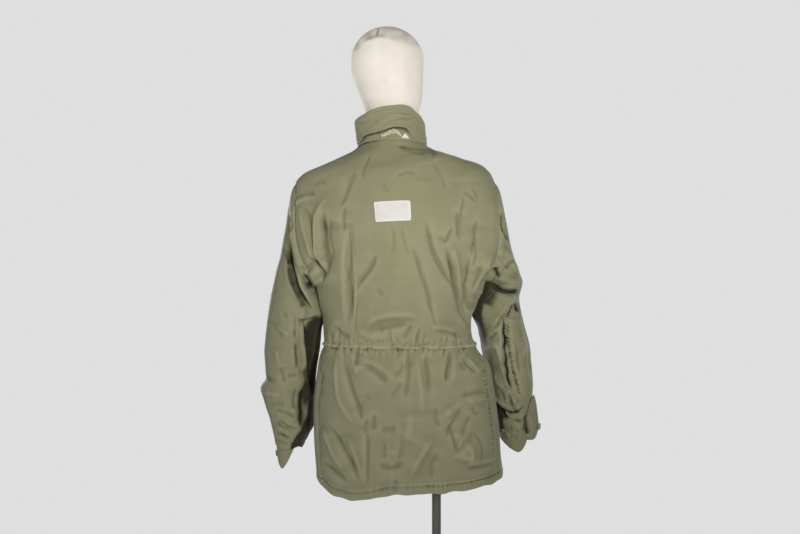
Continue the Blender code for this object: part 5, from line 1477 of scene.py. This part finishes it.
edge_angles = np.array([row[0] for row in FLAP_EDGE.values()], float)
over = np.linspace(edge_angles[0], edge_angles[-1], FLAP_COLUMNS)
where = np.interp(over, edge_angles, np.arange(len(edge_angles)))
foot = smooth_row(FLAP_EDGE, where)[:, 1]
share, angle = np.meshgrid(np.linspace(0.0, 1.0, FLAP_ROWS), over, indexing="ij")
plain, out = collar_points(angle, foot + (1.0 - foot) * share)
u, v, x, z = measured(plain)
relief = creases(x, z, COLLAR_CREASES, 1.3)
relief += creases(x, z, ticks(113, 30, (-60, 100), (1515, 1570), 1.2, (10, 34)))
relief = np.maximum(relief + crumple(u, v, 111, 0.9), -0.0016) * fade((1.03 - share) / 0.15)
curl = FLAP_CURL * bell(v / 0.0045) + 0.0010 * bell((v - 0.010) / 0.007)
curl *= fade((angle - 20) / 20) * (0.1 + 0.9 * fade((126 - angle) / 14))
relief += sewn_edge(v - 0.0055, u, 115, 0.0007, 0.0006, 0.008, 0.006)
points = plain + out * (FLAP_REACH + relief + curl)[..., None]
roll = np.radians(np.linspace(15, 165, 9))[:, None, None]
over_top = plain[-1:] + FLAP_REACH * (np.cos(roll) * out[-1:] + np.sin(roll) * UPWARD)
points = np.concatenate([points, over_top])
# paler along the rolled lower edge, partly rubbed wear and partly a painted highlight
wear_and_shade = wear_and_shade_of(relief, 1.8 * bell(v / 0.0030))
wear_and_shade = np.concatenate([wear_and_shade, np.full((len(roll), FLAP_COLUMNS), 0.45)])
cloth("collar_flap_cloth", points, wear_and_shade, arc_lengths(points), ["collar_flap"])

# %% [markdown]
# ## Hanger tape and label
# The hanger is a narrow tape, twisted on itself so that it reads as two strands. A small
# white end of tape sticks out beside it. Below the collar a plain woven white label is
# stitched on along its edges, which pucker. It carries no print.

# %% The hanger and the white tip
HANGER_START, HANGER_SWEEP = 73.0, 31.0
STRAND_RADIUS = 0.0021
STRAND_TWISTS = 2.4


def tube(centres, radius, sides=10, flat=1.0):
    """Points of a tube along centres, flattened across the collar."""
    along = unit(np.gradient(centres, axis=0))
    up = unit(np.cross(along, np.cross(UPWARD, along)))
    across = unit(np.cross(along, up))
    turn = np.arange(sides) * 2 * math.pi / sides
    ring = np.cos(turn)[None, :, None] * up[:, None] + flat * np.sin(turn)[None, :, None] * across[:, None]
    return centres[:, None] + radius * ring


span = np.linspace(0.0, 1.0, 90)
arc = np.sin(np.pi * span)
middle, out = collar_points(HANGER_START + HANGER_SWEEP * span, 0.09 + 0.13 * np.sin(np.pi * span ** 1.7))
middle = middle + out * (0.0040 + 0.0026 * arc)[:, None]
strands = []
for start in (0.0, math.pi):
    phase = (2 * math.pi * STRAND_TWISTS * span + start)[:, None]
    spread = 0.0034 * (0.40 + 0.60 * arc)[:, None]
    strand = middle + spread * (np.cos(phase) * UPWARD + 0.6 * np.sin(phase) * out)
    strands.append(tube(strand, STRAND_RADIUS, flat=0.8))
mesh = joined("hanger_tape", strands)
put_value(mesh, "wear_and_shade", np.full(len(mesh.vertices), 1.2))
dressed("hanger_tape", mesh, OLIVE_TAPE, ["hanger_loop"])

share, turn = np.meshgrid(np.linspace(0, 1, 14), np.linspace(0, 1, 16), indexing="ij")
left, right = 104.5 + 7.2 * share, 119 - 5.6 * share
points, out = collar_points(left + (right - left) * turn, 0.02 + 0.145 * share)
points = points + out * (0.0026 + 0.0009 * np.sin(np.pi * turn) * share)[..., None]
cloth("white_tape_tip", points, 0 * share, arc_lengths(points), ["tape_tip"],
      thick=0.0009, finish=WHITE_TAPE)

# %% The label
LABEL_LEFT_X, LABEL_WIDTH = 0.0560, 0.0785
LABEL_LEVELS = (0.38, 1.20)
LABEL_TILT, LABEL_LEAN = 0.0034, 0.0048     # it was sewn on a little askew
LABEL_SEAT, LABEL_STITCH = 0.0022, 0.0068
LABEL_ROWS, LABEL_COLUMNS = 44, 74

mid_level = LEVELS["blade"] + 0.79
section = smooth_columns(BODY_COLUMNS, BODY_SECTIONS, mid_level)
half, middle = (section["x_left"] - section["x_right"]) / 2, (section["x_left"] + section["x_right"]) / 2
start = float(seam_angle(mid_level, BACK_SCOOP))
places = np.linspace(LABEL_LEFT_X, LABEL_LEFT_X - LABEL_WIDTH, LABEL_COLUMNS)
across = (np.degrees(np.arccos((places - middle) / half)) - start) / (180.0 - 2 * start)
levels = LEVELS["blade"] + np.linspace(*LABEL_LEVELS, LABEL_ROWS)
points, out = lie_on("back", levels, across, 0.0)
u, v = arc_lengths(points)
edge = from_border(u, v)
pull = np.cos(2 * np.pi * (u + v) / LABEL_STITCH + 1.5 * waves(u, v, 0.03, 131)) * bell(edge / 0.006, 1.5)
groove = 0.0003 * bell((edge - 0.0022) / 0.0012)
lift = LABEL_SEAT + 0.0005 * fade(edge / 0.010) + 0.0009 * pull - groove
lift += 0.0003 * waves(u, v, 0.022, 133)
points = points + out * lift[..., None]
corner = bell((np.minimum(u, u[:, -1:] - u) + np.minimum(v, v[-1:] - v)) / 0.0022, 1)
points = points + (points.mean(axis=(0, 1)) - points) * (0.05 * corner)[..., None]
to_left, down = np.meshgrid(np.linspace(1, 0, LABEL_COLUMNS), np.linspace(1, 0, LABEL_ROWS))
points[..., 2] -= LABEL_TILT * to_left
points[..., 0] -= LABEL_LEAN * down * to_left
wear_and_shade = wear_and_shade_of(lift) * 0.5 + 1.6 * bell(edge / 0.0035) - 0.5
cloth("label_cloth", points, wear_and_shade, (u, v), ["label"], thick=0.0008,
      finish=WHITE_TAPE)

# %% [markdown]
# ## Pockets and storm flap
# The front carries two chest pockets with flaps, two flaps over the hip pockets and a
# storm flap over the zip. They lie on the fronts, so they take the fronts' folds, with
# stitched edges of their own.

# %% Pockets, flaps and the storm flap
POCKET_COLUMNS = ("level_low", "level_high", "column_first", "column_last", "layer")
POCKETS = dict(
    pocket_chest=(9, 12, 5, 12, 1),
    flap_chest=(12, 13, 5, 12, 2),
    flap_hip=(3, 4, 6, 13, 1),
)
CAD_COLUMNS = 16
LAYER = 0.0032
PATCH_ROWS, PATCH_COLUMNS = 58, 48
FLY_LEFT, FLY_RIGHT = (0.895, 0.995), (0.995, 0.915)


def stitched_patch(name, points, out, seed, nodes):
    """A sewn-on piece: raised middle, stitched groove round its edge, small puckers, and a painted shadow
    along its edge.
    """
    u, v = arc_lengths(points)
    edge = from_border(u, v)
    relief = 0.0014 * fade(edge / 0.010) + crumple(u, v, seed + 2, 0.5)
    relief += sewn_edge(edge - 0.005, u + v, seed, 0.0009, 0.0006, 0.0075, 0.008)
    points = points + out * relief[..., None]
    # a painted shadow along the very edge, and a paler strip along the stitching, partly rubbed wear and
    # partly a painted highlight
    wear_and_shade = wear_and_shade_of(relief, 1.3 * bell((edge - 0.0025) / 0.0022) - 1.2 * bell(edge / 0.0016))
    cloth(name, points, wear_and_shade, (u, v), nodes)


for side, seed in (("left", 141), ("right", 151)):
    for step, (kind, row) in enumerate(POCKETS.items()):
        pocket = named(POCKET_COLUMNS, row)
        levels = np.linspace(pocket["level_low"], pocket["level_high"], PATCH_ROWS)
        across = np.linspace(pocket["column_first"], pocket["column_last"], PATCH_COLUMNS) / CAD_COLUMNS
        points, out = lie_on(side, levels, across, LAYER * pocket["layer"] - 0.0002)
        if side == "left":
            points, out = points[:, ::-1], out[:, ::-1]
        stitched_patch(f"{kind}_cloth_{side}", points, out, seed + 3 * step, [f"{kind}_{side}"])

levels = np.linspace(0.0, LEVELS["neck"], 200)
left, out_left = lie_on("left", levels, np.linspace(*FLY_LEFT, 16), LAYER)
right, out_right = lie_on("right", levels, np.linspace(*FLY_RIGHT, 14), LAYER)
points = np.concatenate([left, right], axis=1)[:, ::-1]
out = np.concatenate([out_left, out_right], axis=1)[:, ::-1]
stitched_patch("fly_cloth", points, out, 161, ["fly"])

# %% [markdown]
# ## Cuff guards
# Inside each cuff folds a pointed guard for the back of the hand, and its tip hangs out.
# On the right cuff a second one stands out to the side, with a fold between the two,
# darkened by painted shade. Small tabs close them. Each guard is a narrowing stretch of
# the cuff's own ring.

# %% Guards, flare and tabs
GUARD_COLUMNS = ("side", "turn", "half_spread", "length", "stand_off", "lean")
CUFF_GUARDS = dict(
    cuff_guard_left=("left", 62.0, 58.0, 0.046, -0.0032, 0.0),
    cuff_guard_right=("right", 88.0, 76.0, 0.036, 0.0026, -15.0),
)
GUARD_CLOTH = 0.0013
GUARD_TUCK, GUARD_NARROWING = 0.018, 0.80
GUARD_SUNK = 0.0022         # its upper edge lies this far under the cuff's cloth
GUARD_CREASES = dict(
    fold=((4, 5, -3.2), -246, 839, -255, 836, -267, 840),
    side=((5, 5, 3.4), -231, 856, -242, 845, -250, 832),
    side_dark=((4, 4, -2.4), -226, 850, -238, 838, -246, 826),
    dent=((4, 4, -3), -264, 856, -266, 842, -262, 824),
    ridge=((4, 4, 2.6), -257, 858, -258, 848, -256, 840),
    point=((4, 4, 1.8), -250, 826, -256, 814, -262, 806),
)
FLARE_CREASES = dict(
    gap=((4, 5, -2.4), -280, 880, -285, 860, -290, 838),
    swell=((7, 7, 2), -297, 884, -299, 862, -298, 845),
)
# painted shade in the gap between the flare and the sleeve
FLARE_PAINTED_SHADE = dict(gap=((5, 8, 3.0), -279, 884, -284, 862, -290, 836))
FLARE_COLUMNS = ("ring", "half_spread", "lift", "drop")
FLARE_TURN = 8.0
CUFF_FLARE = dict(
    root=(10.5, 12, 0.002, 0),
    swell=(11.1, 26, 0.01, 0),
    broad=(12.2, 38, 0.019, 0),
    low=(13.2, 40, 0.023, 0),
    edge=(14, 33, 0.02, 0.004),
    end=(14.2, 24, 0.0165, 0.0105),
    tip=(14.2, 7, 0.012, 0.0135),
)
TAB_LIFT = 0.0030


def guard_points(name, drops, across):
    """Points of a pointed guard: drop below the cuff in metres, across -1 to 1."""
    guard = named(GUARD_COLUMNS, CUFF_GUARDS[name])
    rows, ways = [], []
    for drop in drops:
        down = max(drop, 0.0) / guard["length"]
        spread = guard["half_spread"] * (1.0 - GUARD_NARROWING * down) * math.sqrt(1.02 - down ** 8)
        middle = guard["turn"] + guard["lean"] * down
        ring, out = sleeve_points(guard["side"], [CUFF_RING], middle + spread * across)
        sunk = max(guard["stand_off"] + GUARD_SUNK, 0.0) * (1.0 - fade((drop + GUARD_TUCK) / 0.012))
        rows.append(ring[0] + out[0] * (guard["stand_off"] - sunk) - np.array([0.0, 0.0, drop]))
        ways.append(out[0])
    return np.array(rows), np.array(ways)


def flare_points(rows, across):
    """Points of the flared guard: its rows from the root to the tip, across -1 to 1."""
    points, ways = [], []
    for values in smooth_row(CUFF_FLARE, rows):
        flare = named(FLARE_COLUMNS, values)
        ring, out = sleeve_points("right", [flare["ring"]], FLARE_TURN + flare["half_spread"] * across)
        lift = 0.0016 + flare["lift"] * (1.0 - 0.94 * fade(across) ** 1.2)
        points.append(ring[0] + out[0] * lift[:, None] - np.array([0.0, 0.0, flare["drop"]]))
        ways.append(out[0])
    return np.array(points), np.array(ways)


def small_piece(name, points, out, seed, node, facing=1, table=None, painted_shade=None):
    """A small creased piece with stitched edges."""
    u, v, x, z = measured(points)
    edge = from_border(u, v)
    relief = crumple(u, v, seed, 1.3) + creases(x, z, table or {})
    relief += sewn_edge(edge - 0.0035, u + v, seed + 1, 0.0004, 0.0003, 0.006, 0.005)
    relief *= fade(edge / 0.002 + 0.4)
    # painted shade along the lines of the table it is given
    wear_and_shade = wear_and_shade_of(relief, 0.5 * bell(edge / 0.0025)) - fold_shade_of(x, z, painted_shade or {})
    points = points + out * relief[..., None]
    cloth(name, points, wear_and_shade, (u, v), [node], facing, thick=GUARD_CLOTH)


for name, row in CUFF_GUARDS.items():
    side, length = row[0], row[3]
    drops = np.linspace(-GUARD_TUCK, length, 46)
    points, out = guard_points(name, drops, np.linspace(-1, 1, 50))
    small_piece(name + "_cloth", points, out, 171, name,
                1 if side == "left" else -1, GUARD_CREASES)
points, out = flare_points(np.linspace(0, len(CUFF_FLARE) - 1, 50), np.linspace(-1, 1, 60))
small_piece("cuff_flare_cloth", points, out, 175, "cuff_flare_right",
            table=FLARE_CREASES, painted_shade=FLARE_PAINTED_SHADE)
points, out = guard_points("cuff_guard_left", np.linspace(0.008, 0.020, 10), np.linspace(-0.97, -0.60, 16))
points[..., 0] += TAB_LIFT
small_piece("cuff_tab_cloth_left", points, out, 177, "cuff_tab_left")
points, out = flare_points(np.linspace(2.7, 3.2, 10), np.linspace(-0.3, 0.3, 16))
points[..., 0] -= TAB_LIFT
small_piece("cuff_tab_cloth_right", points, out, 179, "cuff_tab_right")

# %% [markdown]
# ## The form
# The padded form has no limbs. Its egg-shaped head is covered in off-white canvas that
# was steamed on, with a raised seam across the crown and a short one up from it. The
# panel over the seam is darkened by painted shade. Under the jacket the cover is slightly
# drawn in, so the cloth hangs clear of it.

# %% The form
FORM_COLUMNS = ("z", "x_mid", "half_width", "y_mid", "half_depth", "power")
FORM_SECTIONS = dict(
    foot=(0.85, -0.006, 0.145, -0.002, 0.094, 2.1),
    hips=(0.93, -0.004, 0.158, -0.001, 0.103, 2.1),
    hip_top=(1, 0, 0.154, 0, 0.098, 2.1),
    waist=(1.058, 0.002, 0.15, 0, 0.094, 2.1),
    rib_low=(1.13, 0.005, 0.155, 0, 0.102, 2.2),
    rib=(1.21, 0.008, 0.164, 0, 0.108, 2.2),
    chest=(1.29, 0.008, 0.18, 0, 0.106, 2.2),
    blade=(1.35, 0.009, 0.198, 0, 0.102, 2.1),
    deltoid=(1.39, 0.009, 0.208, 0, 0.097, 2),
    shoulder=(1.413, 0.0085, 0.21, 0.004, 0.09, 2),
    slope_a=(1.434, 0.0055, 0.197, 0.006, 0.083, 2),
    slope_b=(1.452, -0.005, 0.1655, 0.012, 0.069, 2),
    slope_c=(1.466, 0.003, 0.126, 0.013, 0.062, 2),
    neck_foot=(1.48, 0.011, 0.082, 0.011, 0.056, 2),
    neck_low=(1.494, 0.017, 0.06, 0.007, 0.053, 2),
    neck=(1.53, 0.017, 0.057, 0.002, 0.055, 2),
    jaw=(1.571, 0.0174, 0.06, 0.001, 0.062, 2),
    cheek=(1.6, 0.0205, 0.069, 0, 0.074, 2),
    face=(1.64, 0.0265, 0.079, -0.001, 0.087, 2),
    brow=(1.68, 0.029, 0.082, -0.001, 0.092, 2),
    crown_low=(1.715, 0.029, 0.075, 0, 0.085, 2),
    crown=(1.742, 0.0288, 0.055, 0.002, 0.063, 2),
    crown_top=(1.756, 0.0286, 0.028, 0.003, 0.032, 2),
    tip=(1.76, 0.0286, 0.001, 0.003, 0.001, 2),
)
FORM_ROWS, FORM_TURNS = 232, 146
FORM_DRAWN_IN = 0.003
CROWN_SHADE = 1.2
CROWN_SEAMS = dict(
    seam=((3, 4, 3), 94, 1698, 78, 1709, 62, 1716, 46, 1718, 30, 1716, 8, 1708),
    over_it=((4, 6, -0.7), 86, 1713, 66, 1722, 46, 1725, 26, 1722),
    upright=((2, 2, -2.4), 46, 1752, 49, 1738, 53, 1724),
    scratch=((2, 3, -0.8), 64, 1674, 53, 1682),
    dent=((2, 4, -0.4), 46, 1631, 38, 1629, 30, 1630),
    soft=((9, 9, -1.2), 80, 1600, 74, 1570, 70, 1545),
)

fine = np.linspace(0, len(FORM_SECTIONS) - 1, 800)
s = smooth_columns(FORM_COLUMNS, FORM_SECTIONS, fine)
where = even_steps(np.stack([s["z"], s["half_width"]], axis=-1), fine, FORM_ROWS)
where, turn = np.meshgrid(where, np.arange(FORM_TURNS) * 2 * math.pi / FORM_TURNS, indexing="ij")
s = smooth_columns(FORM_COLUMNS, FORM_SECTIONS, where)
drawn = FORM_DRAWN_IN * fade((1.500 - s["z"]) / 0.02)
x = s["x_mid"] + (s["half_width"] - drawn) * power_of(np.cos(turn), 2 / s["power"])
y = s["y_mid"] + (s["half_depth"] - drawn) * power_of(np.sin(turn), 2 / s["power"])
points = np.stack([x, y, s["z"]], axis=-1)
out = unit(np.stack([np.cos(turn), np.sin(turn), 0.6 * fade((s["z"] - 1.66) / 0.1)], axis=-1))
u, v = arc_lengths(points)
covered = fade((s["z"] - 1.50) / 0.03) * fade((1.7595 - s["z"]) / 0.012)
rear = fade(np.sin(turn) / 0.25)
relief = 0.0009 * waves(x, s["z"], 0.075, 181) + 0.0003 * waves(x, s["z"], 0.030, 182)
relief += creases(x, s["z"], CROWN_SEAMS) * rear
mesh = joined("form_cover", [points + out * (relief * covered)[..., None]])
line = np.reshape(CROWN_SEAMS["seam"][1:], (-1, 2))[::-1] / 1000.0
# painted shade on the crown panel above the seam
painted_crown_shade = fade((s["z"] - np.interp(x, line[:, 0], line[:, 1])) / 0.003) * rear
put_value(mesh, "wear_and_shade", CROWN_SHADE * (wear_and_shade_of(relief, closed=True) - painted_crown_shade) * covered)
put_value(mesh, "thread", np.stack([u, v, 0 * u], axis=-1))
form = dressed("form_cover", mesh, CANVAS, ["form"])
print("form:", len(mesh.vertices), "points")

# %% [markdown]
# ## Stitching
# Rows of small stitches hold the hem, the side seams and the cuffs. Each stitch is a
# short bead of thread lying in its groove. All stitches of one piece are one mesh.

# %% Stitches
STITCH_LENGTH, STITCH_PITCH, STITCH_RADIUS = 0.0024, 0.0032, 0.00034
STITCH_LIFT = CLOTH / 2 + 0.0001
SEAM_STITCHES = (0.0030, 0.0085)    # how far inside the side seams the rows run


def along_path(path, out, pitch=STITCH_PITCH):
    """Places, directions and outward ways at an even pitch along a path."""
    run = run_along(path)
    stops = np.arange(pitch / 2, run[-1] - pitch / 2, pitch)

    def read(values, ahead=0.0):
        return np.stack([np.interp(stops + ahead, run, values[:, axis]) for axis in range(3)], axis=-1)

    return read(path), unit(read(path, 0.001) - read(path, -0.001)), unit(read(out))


def stitches(name, paths):
    """Small beads of thread along several paths, as one mesh that belongs to the piece."""
    points, faces = [], []
    for path, out in paths:
        place, along, way = along_path(path, out)
        across = unit(np.cross(along, way))
        centre = place + way * STITCH_LIFT
        ends = STITCH_LENGTH / 2 * along
        for c, e, a, w in zip(centre, ends, across * STITCH_RADIUS, way * STITCH_RADIUS):
            base = len(points)
            points += [c - e, c + a, c + w, c - a, c - w, c + e]
            for i in range(4):
                j = (i + 1) % 4
                faces += [(base, base + 1 + j, base + 1 + i), (base + 5, base + 1 + i, base + 1 + j)]
    mesh = bpy.data.meshes.new(name)
    mesh.from_pydata([tuple(p) for p in points], [], faces)
    mesh.shade_smooth()
    put_value(mesh, "wear_and_shade", np.full(len(points), 0.3))
    dressed(name, mesh, OLIVE_SEAM, [])
    print(name, len(faces), "faces")


def inside_edge(points, out, run, how_far):
    """In each row of a grid, the point that lies this far from the row's start."""
    at = np.array([np.interp(how_far, row, np.arange(len(row))) for row in run])
    low, rows = at.astype(int), np.arange(len(run))
    share = (at - low)[:, None]
    return points[rows, low] * (1 - share) + points[rows, low + 1] * share, out[rows, low]


def over_hem(side, how_far):
    """The line of a panel that lies this far above its lower edge."""
    points, out, _ = PANELS[side]
    return inside_edge(points.swapaxes(0, 1), out.swapaxes(0, 1), arc_lengths(points)[1].T, how_far)


def beside_seam(side, how_far, last=False):
    """The line of a panel that lies this far inside its side edge, up to the armhole."""
    points, out, _ = PANELS[side]
    u = arc_lengths(points)[0]
    if last:
        points, out, u = points[:, ::-1], out[:, ::-1], (u[:, -1:] - u)[:, ::-1]
    below = points[:, 0, 2] < UNDERARM_Z - 0.02
    return [values[below] for values in inside_edge(points, out, u, how_far)]


sides = [beside_seam("back", how_far, last) for how_far in SEAM_STITCHES for last in (False, True)]
stitches("back_stitches", [over_hem("back", HEM_STITCH), *sides])
for side in ("left", "right"):
    stitches("front_stitches_" + side, [over_hem(side, HEM_STITCH), beside_seam(side, SEAM_STITCHES[0])])
    points, out, _ = SLEEVES[side]
    v = arc_lengths(points)[1]
    row = int(np.argmin(np.abs(v[-1].mean() - v.mean(axis=1) - CUFF_STITCH)))
    loop = np.concatenate([points[row], points[row, :1]]), np.concatenate([out[row], out[row, :1]])
    stitches("sleeve_stitches_" + side, [loop])

# %% Measure the scene's bounds
low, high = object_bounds()
